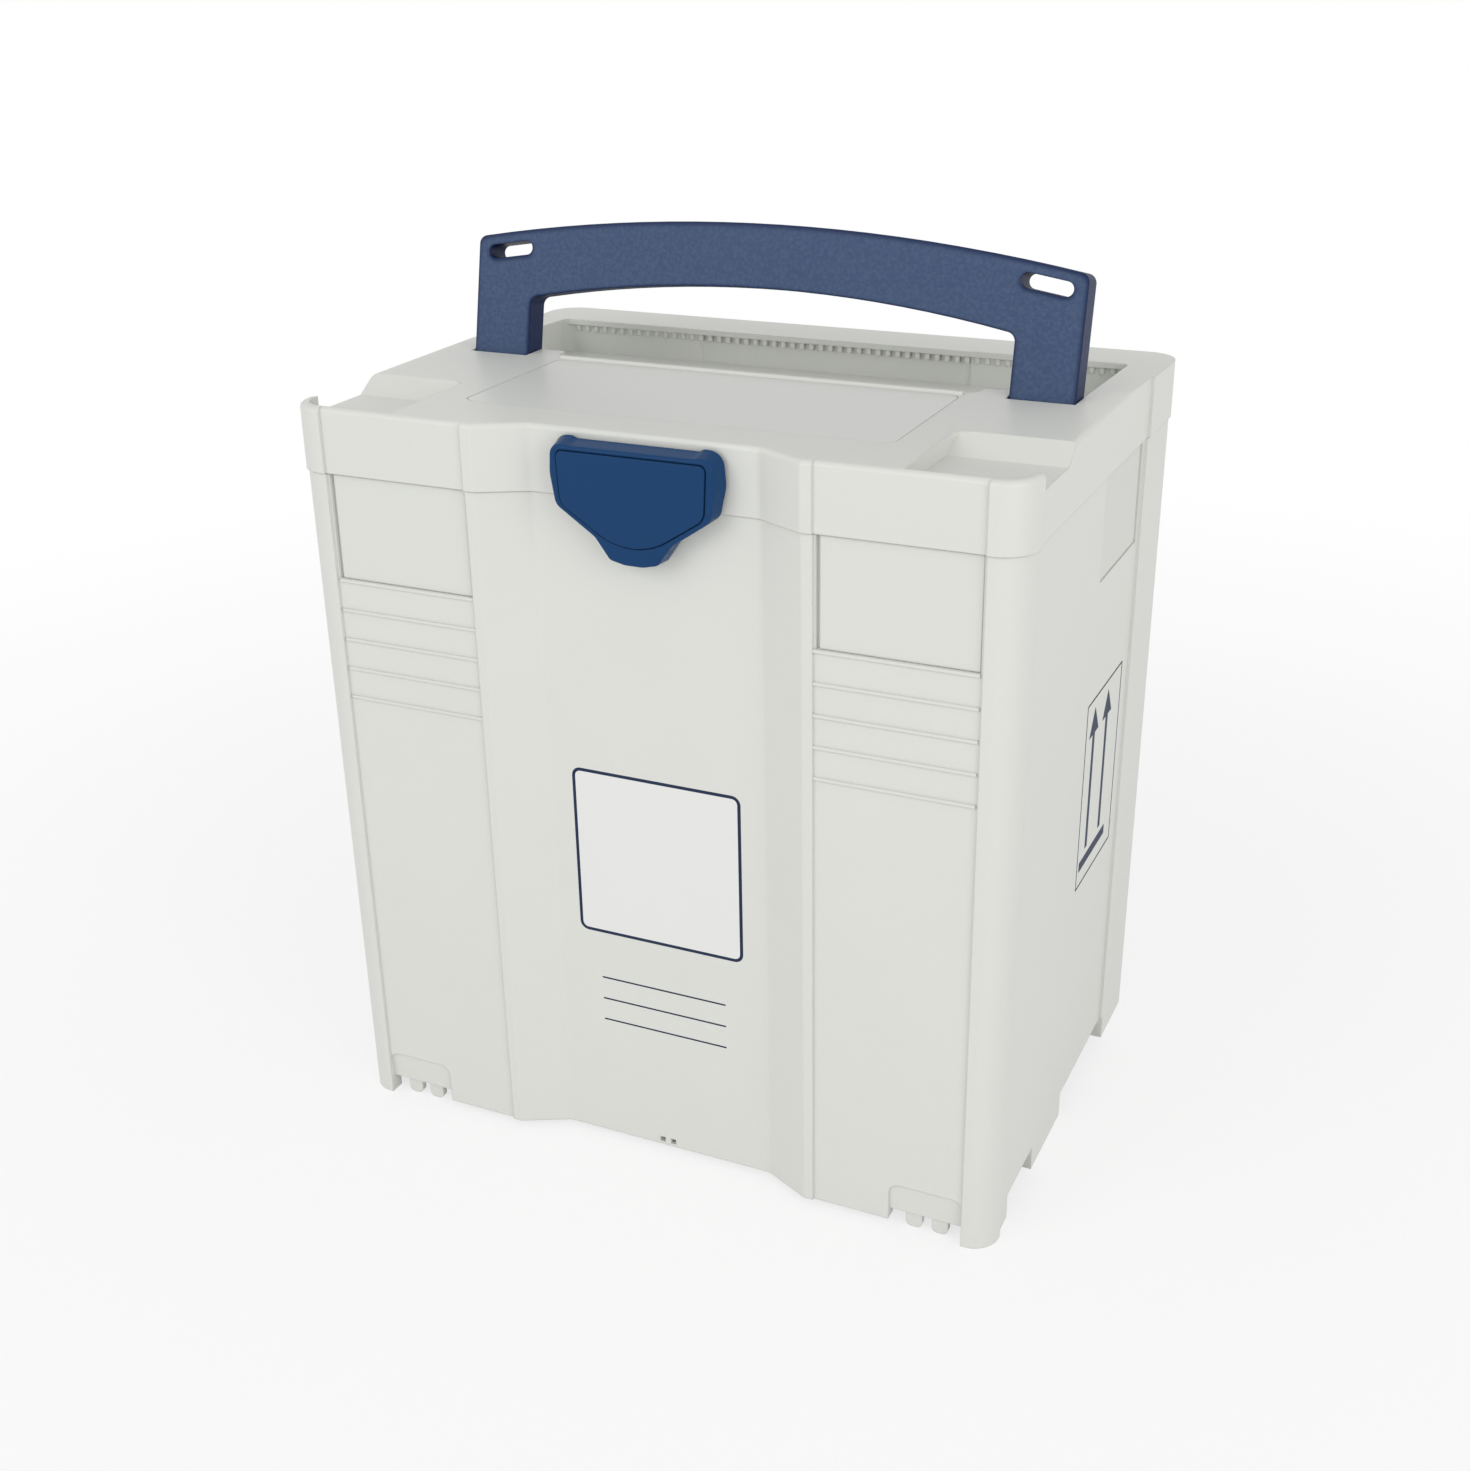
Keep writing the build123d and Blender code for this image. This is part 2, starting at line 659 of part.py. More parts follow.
def lid_shell():
    """The moulded lid."""
    body = lid_blank()
    body -= rear_fall()
    body -= prism(lid_wall, lid_bottom_z - 1, lid_wall, lid_ceiling_z)
    for hollow in lid_hollows():
        body -= hollow
    body -= trough()
    body += rim_lip()
    body += rim_teeth()
    body -= both_sides(corner_pocket())
    body -= label_bed(0, lid_top_z - label_bed_depth, lid_top_z + cut_margin)
    body += label_rib()
    body -= both_sides(handle_pin(handle_pin_radius))
    body += rod_y(latch_boss_radius, recess_y + 1, recess_y + lid_wall + latch_boss_height, z=latch_z)
    bore_end = recess_y + 2 * lid_wall + latch_boss_height
    body -= rod_y(spindle_radius + spindle_running, recess_y - 1, bore_end, z=latch_z)
    base_spans, lid_spans = hinge_spans()
    for x0, x1 in base_spans:
        body -= both_sides(rod_x(hinge_barrel_radius + hinge_gap, x0 - hinge_gap, x1 + hinge_gap, hinge_y, hinge_z))
    for x0, x1 in lid_spans:
        body += both_sides(knuckle(x0, x1, rear_y, hinge_z + hinge_web_height))
    body -= both_sides(hinge_rod(hinge_pin_radius + hinge_running))
    return body


def label_plate():
    """Plate that lies in the lid's label bed."""
    z0 = lid_top_z - label_bed_depth
    return label_bed(label_gap, z0, z0 + label_thickness)


# ---------------------------------------------------------------- handle
def bow_height(x, half, shoulder_z, crown_z):
    """Height of a shallow arc over the handle's width."""
    rise = crown_z - shoulder_z
    radius = (half ** 2 + rise ** 2) / (2 * rise)
    return crown_z - radius + sqrt(radius ** 2 - x ** 2)


def handle_outline():
    """Front view of the bail: two legs under a bowed grip."""
    inner_half = handle_half_width - handle_leg_width
    inner_shoulder = handle_shoulder_z - handle_arm_height
    inner_crown = handle_crown_z - handle_grip_height
    outer = [(-handle_half_width, handle_shoulder_z), (0, handle_crown_z), (handle_half_width, handle_shoulder_z)]
    inner = [(inner_half, inner_shoulder), (0, inner_crown), (-inner_half, inner_shoulder)]
    foot = handle_pivot_z
    edges = [ThreePointArc(*outer), ThreePointArc(*inner)]
    for side in (-1, 1):
        edges.append(Line((side * handle_half_width, foot), (side * handle_half_width, handle_shoulder_z)))
        edges.append(Line((side * inner_half, foot), (side * inner_half, inner_shoulder)))
        edges.append(Line((side * inner_half, foot), (side * handle_half_width, foot)))
    face = make_face(edges)
    corners = face.vertices().filter_by(lambda vertex: vertex.Y > foot + 1)
    return fillet(corners, handle_corner_radius)


def grip_pocket():
    """Hollow in the back of the grip, crossed by ribs."""
    back = handle_y + handle_half_thickness
    floor = back - grip_pocket_depth
    wall = grip_pocket_wall
    half = handle_half_width
    outer = [(x, bow_height(x, half, handle_shoulder_z, handle_crown_z) - wall)
             for x in (-grip_pocket_half, 0, grip_pocket_half)]
    inner_half = handle_half_width - handle_leg_width
    inner_shoulder = handle_shoulder_z - handle_arm_height
    inner_crown = handle_crown_z - handle_grip_height
    inner = [(x, bow_height(x, inner_half, inner_shoulder, inner_crown) + wall)
             for x in (-grip_pocket_half, 0, grip_pocket_half)]
    ends = [Line(outer[0], inner[0]), Line(outer[2], inner[2])]
    face = make_face([ThreePointArc(*outer), ThreePointArc(*inner), *ends])
    hollow = facing_front(face, floor, back + cut_margin)
    count = int(grip_pocket_half / grip_rib_pitch)
    half_rib = grip_rib_width / 2
    for step in range(-count, count + 1):
        x = step * grip_rib_pitch
        hollow -= block(x - half_rib, x + half_rib, floor - 1, back, handle_pivot_z, handle_crown_z)
    return hollow


def strap_slot(side):
    """Slanted strap slot through one upper corner."""
    z = bow_height(strap_slot_x, handle_half_width, handle_shoulder_z, handle_crown_z) - strap_slot_drop
    rise = handle_crown_z - handle_shoulder_z
    radius = (handle_half_width ** 2 + rise ** 2) / (2 * rise)
    slant = -degrees(strap_slot_x / radius)
    slot = Pos(side * strap_slot_x, z) * Rot(0, 0, side * slant) * SlotOverall(strap_slot_length, strap_slot_width)
    return facing_front(slot, handle_y - handle_thickness, handle_y + handle_thickness)


def carry_handle():
    """The folding carry handle, standing upright."""
    body = facing_front(handle_outline(), handle_y - handle_half_thickness, handle_y + handle_half_thickness)
    faces = body.faces().sort_by(Axis.Y)
    rim = (faces[0].edges() + faces[-1].edges()).filter_by(lambda edge: edge.center().Z > handle_pivot_z + 1)
    body = fillet(rim, handle_edge_radius)
    inner = handle_half_width - handle_leg_width
    body += both_sides(rod_x(handle_half_thickness, inner, handle_half_width, handle_y, handle_pivot_z))
    body -= both_sides(handle_pin(handle_pin_radius + handle_running))
    body -= grip_pocket()
    for side in (-1, 1):
        body -= strap_slot(side)
    return lean_back(body)


def lean_back(shape):
    """The handle turned about its pivot to where it rests when raised."""
    pivot = Pos(0, handle_y, handle_pivot_z)
    return pivot * Rot(-handle_lean, 0, 0) * pivot.inverse() * shape


# ---------------------------------------------------------------- latch
def latch_outline():
    """Front view of the knob about its spindle: a wide bar with two ears over a short stem."""
    ear = latch_half_width - latch_ear_width
    top = latch_top + latch_ear_rise
    right = [(ear - latch_ear_rise, latch_top), (ear, top), (latch_half_width - 1, top), (latch_half_width, 0)]
    right += [latch_shoulder, latch_waist, latch_stem, latch_foot]
    radii = latch_radii
    left = [(-x, y) for x, y in reversed(right)]
    return make_face(FilletPolyline(*right, *left, radius=radii + radii[::-1], close=True))


def cap_outline(grow=0.0):
    """Front view of the raised face cap about the spindle; grow widens it all round."""
    half = cap_half_width + grow
    slope = atan2(cap_apex_drop - cap_shoulder_drop, cap_half_width)
    apex = cap_apex_drop + grow / cos(slope)
    shoulder = cap_shoulder_drop + grow * tan(slope / 2)
    points = [(half, cap_top + grow), (half, -shoulder), (0, -apex), (-half, -shoulder), (-half, cap_top + grow)]
    side_radii = [cap_corner_radius + grow, cap_shoulder_radius + grow]
    radii = [*side_radii, cap_apex_radius + grow, *side_radii[::-1]]
    return make_face(FilletPolyline(*points, radius=radii, close=True))


def at_spindle(sketch):
    """A sketch about the spindle moved to its height."""
    return Pos(0, latch_z) * sketch


def latch_knob():
    """Rotary knob: hollow tapered bar, hub, spindle and the nose that hooks under the base's lug."""
    depth = latch_back_y - latch_face_y
    run = depth * tan(radians(latch_taper))
    shrink = 1 - run / latch_half_width
    frame = Plane((0, 0, latch_z), x_dir=(1, 0, 0), z_dir=(0, -1, 0))
    back = Plane((0, latch_back_y, latch_z), x_dir=frame.x_dir, z_dir=frame.z_dir)
    face = Plane((0, latch_face_y, latch_z), x_dir=frame.x_dir, z_dir=frame.z_dir)
    body = loft([back * latch_outline(), face * scale(latch_outline(), by=shrink)], ruled=True)
    body = chamfer(body.faces().sort_by(Axis.Y)[0].edges(), latch_edge_radius)
    cap_floor = front_y + cap_thickness
    body -= facing_front(at_spindle(cap_outline(cap_gap)), front_y - 1, cap_floor)
    plate_y = cap_floor + latch_plate
    inside = 1 - (run + latch_rim) / latch_half_width
    body -= facing_front(at_spindle(scale(latch_outline(), by=inside)), plate_y, latch_back_y + 1)
    body += rod_y(hub_radius, plate_y - 0.5, recess_y - hub_gap, z=latch_z)
    body += rod_y(spindle_radius, recess_y - 1, spindle_end_y, z=latch_z)
    nose_inner = lug_radius + nose_gap
    nose = sector(nose_inner, nose_inner + nose_thickness, nose_half_angle)
    body += facing_front(nose, plate_y - 0.5, recess_y - nose_wall_gap)
    return body - latch_screw_hole()


def latch_screw_hole():
    """Pilot hole in the spindle's inner end."""
    return rod_y(latch_screw_radius, spindle_end_y - latch_screw_length, spindle_end_y + 1, z=latch_z)


def latch_face_cap():
    """The separate cap on the knob's face."""
    return facing_front(at_spindle(cap_outline()), front_y, front_y + cap_thickness)


def latch_spring_washer():
    """Spring washer that keeps the knob drawn against the lid."""
    y0 = recess_y + lid_wall + latch_boss_height + washer_gap
    ring = Circle(latch_boss_radius - 0.5) - Circle(spindle_radius + 3 * washer_gap)
    return facing_front(at_spindle(ring), y0, y0 + spring_washer_thickness)


def latch_retaining_washer():
    """Washer screwed to the spindle's end."""
    ring = Circle(latch_boss_radius) - Circle(latch_screw_radius + washer_gap)
    return facing_front(at_spindle(ring), spindle_end_y, spindle_end_y + washer_thickness)


def latch_screw():
    """Pan-head screw into the spindle's end."""
    seat = spindle_end_y + washer_thickness
    shank = rod_y(latch_screw_radius, spindle_end_y - latch_screw_length, seat, z=latch_z)
    head = rod_y(latch_screw_head_radius, seat, seat + latch_screw_head_height, z=latch_z)
    top = seat + latch_screw_head_height
    head = chamfer(head.faces().sort_by(Axis.Y)[-1].edges(), latch_screw_head_height / 3)
    for width, height in ((screw_slot_width, 2 * latch_screw_radius), (2 * latch_screw_radius, screw_slot_width)):
        head -= facing_front(at_spindle(Rectangle(width, height)), top - latch_screw_head_height / 2, top + 1)
    return head + shank


# ---------------------------------------------------------------- label cards
def front_card(span):
    """Blank card in a front label pocket."""
    floor_y = front_y + base_inset_top + panel_step + pocket_depth
    x0, x1 = span
    z0, z1 = pocket_bottom_z + card_gap, seam_z - card_gap
    return block(x0 + pocket_slit, x1 - card_gap, floor_y - card_thickness, floor_y, z0, z1)


def side_card():
    """Blank card in the right side's label pocket."""
    floor_x = case_width / 2 - base_inset_top - panel_step - pocket_depth
    y0, y1 = side_pocket_span()
    z0, z1 = pocket_bottom_z + card_gap, seam_z - card_gap
    return block(floor_x, floor_x + card_thickness, y0 + card_gap, y1 - pocket_slit, z0, z1)


# ---------------------------------------------------------------- insulation
def liner_space():
    """Half width and Y range of the liner's cavity."""
    inset = cavity_inset(liner_bottom_z) + fit_gap
    half = case_width / 2 - inset - liner_wall
    return half, recess_y + inset + liner_front_wall, rear_y - inset - liner_wall


def rounded_block(half, y0, y1, radius, z0, z1):
    """Upright block with rounded vertical corners, centred on X = 0."""
    plan = Pos(0, (y0 + y1) / 2) * RectangleRounded(2 * half, y1 - y0, radius)
    return extrude(at_height(plan, z0), z1 - z0)


def insulating_liner():
    """Foam tub that fills the base."""
    bottom_inset = cavity_inset(liner_bottom_z) + fit_gap
    top_inset = cavity_inset(liner_top_z) + fit_gap
    tub = prism(bottom_inset, liner_bottom_z, top_inset, liner_top_z)
    return tub - rounded_block(*liner_space(), liner_corner_radius, liner_floor_z, liner_top_z + 1)


def lid_insulation_plug():
    """Foam pad of the lid with a tongue that closes the liner's mouth."""
    slab_bottom = liner_top_z + fit_gap
    slab = prism(plug_inset, slab_bottom, plug_inset, lid_ceiling_z - fit_gap)
    block_x = front_block_x - plug_block_gap
    block_rear = front_block_rear - plug_block_gap
    block_top = lid_top_z - lid_skin - fit_gap
    slab += block(-block_x, block_x, latch_relief_y(), block_rear, slab_bottom, block_top)
    half, y0, y1 = liner_space()
    gap = plug_tongue_gap
    tongue_bottom = liner_top_z - plug_tongue_depth
    slab += rounded_block(half - gap, y0 + gap, y1 - gap, liner_corner_radius, tongue_bottom, slab_bottom + 1)
    relief = latch_relief_half - plug_block_gap
    return slab - block(-relief, relief, front_y, latch_relief_y(), slab_bottom - 1, lid_top_z)


# ---------------------------------------------------------------- contents
def top_pack_top():
    """Height of the top of the uppermost cool pack."""
    return liner_top_z - plug_tongue_depth - top_pack_gap


def container_half():
    """Half width of the inner container's lid."""
    return liner_space()[0] - cool_pack_thickness - 2 * fit_gap


def cool_pack_side():
    """Cool pack that stands at the right end of the liner."""
    half, y0, y1 = liner_space()
    x1 = half - fit_gap
    depth = y1 - y0 - 2 * fit_gap
    z0 = liner_floor_z
    plan = Pos(x1 - cool_pack_thickness / 2, (y0 + y1) / 2) * RectangleRounded(cool_pack_thickness, depth,
                                                                               cool_pack_radius)
    return extrude(at_height(plan, z0), cool_pack_height)


def cool_pack_top():
    """Cool pack that lies on the inner container."""
    half = container_half()
    _, y0, y1 = container_range()
    top = top_pack_top()
    return rounded_block(half, y0, y1, container_radius, top - cool_pack_thickness, top)


def container_range():
    """Half width and Y range of the inner container's lid."""
    _, y0, y1 = liner_space()
    return container_half(), y0 + container_gap, y1 - container_gap


def container_top():
    """Height of the top of the inner container's lid."""
    return top_pack_top() - cool_pack_thickness


def container_shape(inset, z0, z1):
    """Rounded block of the inner container, drawn in from its lid's sides."""
    half, y0, y1 = container_range()
    return rounded_block(half - inset, y0 + inset, y1 - inset, container_radius - inset, z0, z1)


def container_body_inset():
    """Distance of the container's wall behind its lid's skirt."""
    return container_lid_wall + gasket_gap


def container_rim_z():
    """Height of the container's rim."""
    return container_top() - container_lid_wall - gasket_gap


def secondary_container():
    """Leakproof inner container with a grooved rim."""
    inset = container_body_inset()
    rim = container_rim_z()
    body = container_shape(inset, liner_floor_z, rim)
    body -= container_shape(inset + container_wall, liner_floor_z + container_wall, rim - container_rim_height)
    body -= container_shape(inset + container_rim_width, rim - container_rim_height - 1, rim + 1)
    return body - gasket_ring(0.0, rim - gasket_height, rim + 1)


def gasket_ring(gap, z0, z1):
    """Ring in the middle of the container's rim, narrowed by a gap at each side."""
    start = container_body_inset() + (container_rim_width - gasket_width) / 2 + gap
    end = start + gasket_width - 2 * gap
    return container_shape(start, z0, z1) - container_shape(end, z0 - 1, z1 + 1)


def secondary_container_gasket():
    """Soft gasket in the rim's groove."""
    rim = container_rim_z()
    return gasket_ring(gasket_gap / 2, rim - gasket_height, rim)


def secondary_container_lid():
    """Press-on lid of the inner container."""
    top = container_top()
    body = container_shape(0, top - container_lid_height, top)
    body -= container_shape(container_lid_wall, top - container_lid_height - 1, top - container_lid_wall)
    return chamfer(body.faces().sort_by(Axis.Z)[-1].edges(), container_lid_wall / 2)


def absorbent_pad():
    """Absorbent pad on the container's floor."""
    z0 = liner_floor_z + container_wall
    return container_shape(container_body_inset() + container_rim_width + rack_gap / 2, z0, z0 + pad_thickness)


def tube_rack(level):
    """Foam rack with wells for specimen pots; level 0 is the lowest."""
    inside = container_rim_z() - liner_floor_z - container_wall - pad_thickness - rack_headroom
    height = inside / rack_count
    z0 = liner_floor_z + container_wall + pad_thickness + level * height
    body = container_shape(container_body_inset() + container_rim_width + rack_gap, z0, z0 + height)
    _, y0, y1 = container_range()
    middle = Pos(0, (y0 + y1) / 2, z0 + rack_floor)
    well = Cylinder(rack_hole_radius, height, align=(Align.CENTER, Align.CENTER, Align.MIN))
    body -= [middle * place * well for place in GridLocations(rack_pitch, rack_pitch, rack_columns, rack_rows)]
    return body


def write_parts():
    """Write each piece to its own STEP file."""
    left_card, right_card = (front_card(span) for span in front_pocket_spans())
    side_cards = both_sides(side_card())
    cool_packs = both_sides(cool_pack_side())
    handle_pins = both_sides(handle_pin(handle_pin_radius))
    hinge_pins = both_sides(hinge_rod(hinge_pin_radius))
    pieces = {
        "base_shell": base_shell(),
        "front_label_card_left": left_card,
        "front_label_card_right": right_card,
        "side_label_card_right": side_cards[0],
        "side_label_card_left": side_cards[1],
        "hinge_pin_right": hinge_pins[0],
        "hinge_pin_left": hinge_pins[1],
        "insulating_liner": insulating_liner(),
        "cool_pack_right": cool_packs[0],
        "cool_pack_left": cool_packs[1],
        "cool_pack_top": cool_pack_top(),
        "secondary_container": secondary_container(),
        "secondary_container_lid": secondary_container_lid(),
        "secondary_container_gasket": secondary_container_gasket(),
        "absorbent_pad": absorbent_pad(),
        "lid_shell": lid_shell(),
        "lid_label_plate": label_plate(),
        "lid_insulation_plug": lid_insulation_plug(),
        "handle_pin_right": handle_pins[0],
        "handle_pin_left": handle_pins[1],
        "carry_handle": carry_handle(),
        "latch_knob": latch_knob(),
        "latch_face_cap": latch_face_cap(),
        "latch_spring_washer": latch_spring_washer(),
        "latch_retaining_washer": latch_retaining_washer(),
        "latch_screw": latch_screw(),
    }
    for level in range(rack_count):
        pieces[f"tube_rack_{level + 1}"] = tube_rack(level)
    os.makedirs("parts", exist_ok=True)
    for name, shape in pieces.items():
        export_step(shape, f"parts/{name}.step")


write_parts()
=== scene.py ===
# %% [markdown]
# # Specimen transport box
# A hard case for carrying patient samples: a tall moulded box with a hinged lid, one rotary latch at the
# front and a handle that folds into the lid. The rigid pieces come from the engineering model. This lesson
# gives them smooth shading and real finishes, adds the pieces that only the eye needs, and lights the result.

# %% Load the engineering model
import math
import bmesh
import bpy
import numpy as np
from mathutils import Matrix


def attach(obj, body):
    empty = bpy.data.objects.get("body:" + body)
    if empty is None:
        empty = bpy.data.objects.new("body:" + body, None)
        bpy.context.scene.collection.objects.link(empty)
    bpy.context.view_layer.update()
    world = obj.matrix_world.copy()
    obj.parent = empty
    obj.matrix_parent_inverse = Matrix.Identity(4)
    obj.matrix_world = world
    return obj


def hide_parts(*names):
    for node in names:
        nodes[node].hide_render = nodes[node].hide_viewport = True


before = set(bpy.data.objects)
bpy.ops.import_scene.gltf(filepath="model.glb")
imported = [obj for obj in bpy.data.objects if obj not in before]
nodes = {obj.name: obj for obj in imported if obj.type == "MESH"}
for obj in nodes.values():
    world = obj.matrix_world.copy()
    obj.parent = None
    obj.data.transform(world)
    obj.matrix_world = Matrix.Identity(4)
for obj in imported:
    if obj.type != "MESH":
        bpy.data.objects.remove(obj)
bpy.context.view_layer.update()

scene = bpy.context.scene
MM = 0.001
print("pieces in the frame:", len(nodes))

# %% [markdown]
# ## Smooth shading for the moulded pieces
# The frame's meshes arrive as separate triangles, so a round corner looks faceted. They could be remodelled,
# but a small geometry-nodes modifier is enough: it joins the triangles, shades every face smooth and keeps
# only edges sharper than a set angle. A Weighted Normal modifier then lets the large flat faces win, so that
# walls stay flat right up to their rounded edges.

# %% Join triangles and keep only real edges sharp
SHARP_ANGLE = math.radians(32)
JOIN_DISTANCE = 0.005 * MM


def smooth_shading_tree():
    """Geometry nodes: merge touching points, shade smooth, then mark edges whose angle passes a limit as sharp."""
    tree = bpy.data.node_groups.new("smooth_moulding", "GeometryNodeTree")
    tree.is_modifier = True
    tree.interface.new_socket("Geometry", in_out="INPUT", socket_type="NodeSocketGeometry")
    tree.interface.new_socket("Geometry", in_out="OUTPUT", socket_type="NodeSocketGeometry")
    start = tree.nodes.new("NodeGroupInput")
    merge = tree.nodes.new("GeometryNodeMergeByDistance")
    merge.inputs["Distance"].default_value = JOIN_DISTANCE
    smooth = tree.nodes.new("GeometryNodeSetShadeSmooth")
    angle = tree.nodes.new("GeometryNodeInputMeshEdgeAngle")
    compare = tree.nodes.new("FunctionNodeCompare")
    compare.data_type = "FLOAT"
    compare.operation = "GREATER_THAN"
    compare.inputs[1].default_value = SHARP_ANGLE
    sharp = tree.nodes.new("GeometryNodeSetShadeSmooth")
    sharp.domain = "EDGE"
    sharp.inputs["Shade Smooth"].default_value = False
    end = tree.nodes.new("NodeGroupOutput")
    tree.links.new(start.outputs[0], merge.inputs["Geometry"])
    tree.links.new(merge.outputs[0], smooth.inputs["Geometry"])
    tree.links.new(angle.outputs["Unsigned Angle"], compare.inputs[0])
    tree.links.new(smooth.outputs[0], sharp.inputs["Geometry"])
    tree.links.new(compare.outputs[0], sharp.inputs["Selection"])
    tree.links.new(sharp.outputs[0], end.inputs[0])
    return tree


def keep_walls_flat(piece):
    """Weighted Normal: each point's normal is the mean of its faces' normals by area, and sharp edges stay."""
    weighted = piece.modifiers.new("flat_walls", "WEIGHTED_NORMAL")
    weighted.keep_sharp = True


smoothing = smooth_shading_tree()
for piece in nodes.values():
    modifier = piece.modifiers.new("smooth_moulding", "NODES")
    modifier.node_group = smoothing
    keep_walls_flat(piece)
print("smoothed", len(nodes), "pieces")

# %% [markdown]
# ## Shared effects
# A moulded case has a fine sparkle from the eroded steel of its mould, a slightly uneven tone, and edges that
# are rounded by the moulding and rubbed by handling; the paler rubbed edges also stand in for painted highlights
# along the edges. The handle's narrow sides and the walls of its slots get a painted shade: a deeper colour
# where the surface turns away from its front and back. Painted pictures could show all this, but they would
# need a picture for every piece. Several finishes share these effects, so each is one shader node group with
# named inputs, and gives out only masks, values and normals.

# %% Node helpers
def add(tree, kind, **settings):
    """New shader node with settings; a key that names an input sets its value."""
    made = tree.nodes.new(kind)
    for key, value in settings.items():
        if key in made.inputs:
            made.inputs[key].default_value = value
        else:
            setattr(made, key, value)
    return made


def join(tree, source, target):
    """Link from one socket to another."""
    tree.links.new(source, target)


def remap(tree, source, start=0.0, end=1.0, low=0.0, high=1.0, **settings):
    """Socket that goes from low to high, and no further, as the source goes from start to end."""
    scale = add(tree, "ShaderNodeMapRange", **settings)
    for title, value in (("From Min", start), ("From Max", end), ("To Min", low), ("To Max", high)):
        scale.inputs[title].default_value = value
    join(tree, source, scale.inputs["Value"])
    return scale.outputs["Result"]


def new_effect(name, inputs, outputs):
    """Empty shader node group with float or vector sockets: its tree, its input node and its output node."""
    kinds = {"value": "NodeSocketFloat", "vector": "NodeSocketVector"}
    tree = bpy.data.node_groups.new(name, "ShaderNodeTree")
    for title, kind, default in inputs:
        socket = tree.interface.new_socket(title, in_out="INPUT", socket_type=kinds[kind])
        socket.default_value = default
    for title, kind in outputs:
        tree.interface.new_socket(title, in_out="OUTPUT", socket_type=kinds[kind])
    return tree, tree.nodes.new("NodeGroupInput"), tree.nodes.new("NodeGroupOutput")


# %% Mould grain: height of a fine eroded texture
SWELL_SCALE = 9.0       # swells of the wall in each metre


def grain_effect():
    """Noise at the grain's size times its depth, plus a slow swell of the wall, as one height in metres."""
    inputs = [("Size", "value", 0.6 * MM), ("Depth", "value", 0.02 * MM), ("Swell", "value", 0.05 * MM)]
    tree, start, end = new_effect("mould_grain", inputs, [("Height", "value"), ("Mask", "value")])
    place = add(tree, "ShaderNodeTexCoord")
    inverse = add(tree, "ShaderNodeMath", operation="DIVIDE")
    inverse.inputs[0].default_value = 1.0
    join(tree, start.outputs["Size"], inverse.inputs[1])
    fine = add(tree, "ShaderNodeTexNoise", Detail=2.0, Roughness=0.55)
    join(tree, place.outputs["Object"], fine.inputs["Vector"])
    join(tree, inverse.outputs[0], fine.inputs["Scale"])
    slow = add(tree, "ShaderNodeTexNoise", Scale=SWELL_SCALE, Detail=1.0)
    join(tree, place.outputs["Object"], slow.inputs["Vector"])
    low = add(tree, "ShaderNodeMath", operation="MULTIPLY")
    join(tree, fine.outputs["Fac"], low.inputs[0])
    join(tree, start.outputs["Depth"], low.inputs[1])
    both = add(tree, "ShaderNodeMath", operation="MULTIPLY_ADD")
    join(tree, slow.outputs["Fac"], both.inputs[0])
    join(tree, start.outputs["Swell"], both.inputs[1])
    join(tree, low.outputs[0], both.inputs[2])
    join(tree, both.outputs[0], end.inputs["Height"])
    join(tree, fine.outputs["Fac"], end.inputs["Mask"])
    return tree


mould_grain = grain_effect()

# %% Rounded edges, handling wear and painted edge highlights
EDGE_RADIUS = 0.9 * MM
WEAR_HIGHLIGHT_STARTS, WEAR_HIGHLIGHT_IS_FULL = 0.995, 0.80     # cosine of the turn between the rounded and the plain normal


def edge_effect():
    """The normal averaged over a small radius rounds each edge. The mask is how far it turns from the face's own
    normal, broken up by noise; it places rubbed wear and painted edge highlights."""
    inputs = [("Breakup", "value", 140.0)]
    tree, start, end = new_effect("worn_highlit_edges", inputs, [("Mask", "value"), ("Normal", "vector")])
    rounded = add(tree, "ShaderNodeBevel", samples=6, Radius=EDGE_RADIUS)
    geometry = add(tree, "ShaderNodeNewGeometry")
    turn = add(tree, "ShaderNodeVectorMath", operation="DOT_PRODUCT")
    join(tree, rounded.outputs["Normal"], turn.inputs[0])
    join(tree, geometry.outputs["Normal"], turn.inputs[1])
    place = add(tree, "ShaderNodeTexCoord")
    rubbed_highlight = add(tree, "ShaderNodeTexNoise", Detail=3.0)
    join(tree, place.outputs["Object"], rubbed_highlight.inputs["Vector"])
    join(tree, start.outputs["Breakup"], rubbed_highlight.inputs["Scale"])
    mask = add(tree, "ShaderNodeMath", operation="MULTIPLY", use_clamp=True)
    join(tree, remap(tree, turn.outputs["Value"], WEAR_HIGHLIGHT_STARTS, WEAR_HIGHLIGHT_IS_FULL), mask.inputs[0])
    join(tree, rubbed_highlight.outputs["Fac"], mask.inputs[1])
    join(tree, mask.outputs[0], end.inputs["Mask"])
    join(tree, rounded.outputs["Normal"], end.inputs["Normal"])
    return tree


worn_highlit_edges = edge_effect()

# %% Painted flank shade: a mask for where a piece turns away from its grained front and back
FLANK_RADIUS = 6.0 * MM
FLANK_STARTS, FLANK_IS_FULL = 0.972, 0.76   # size of the softened normal's Y


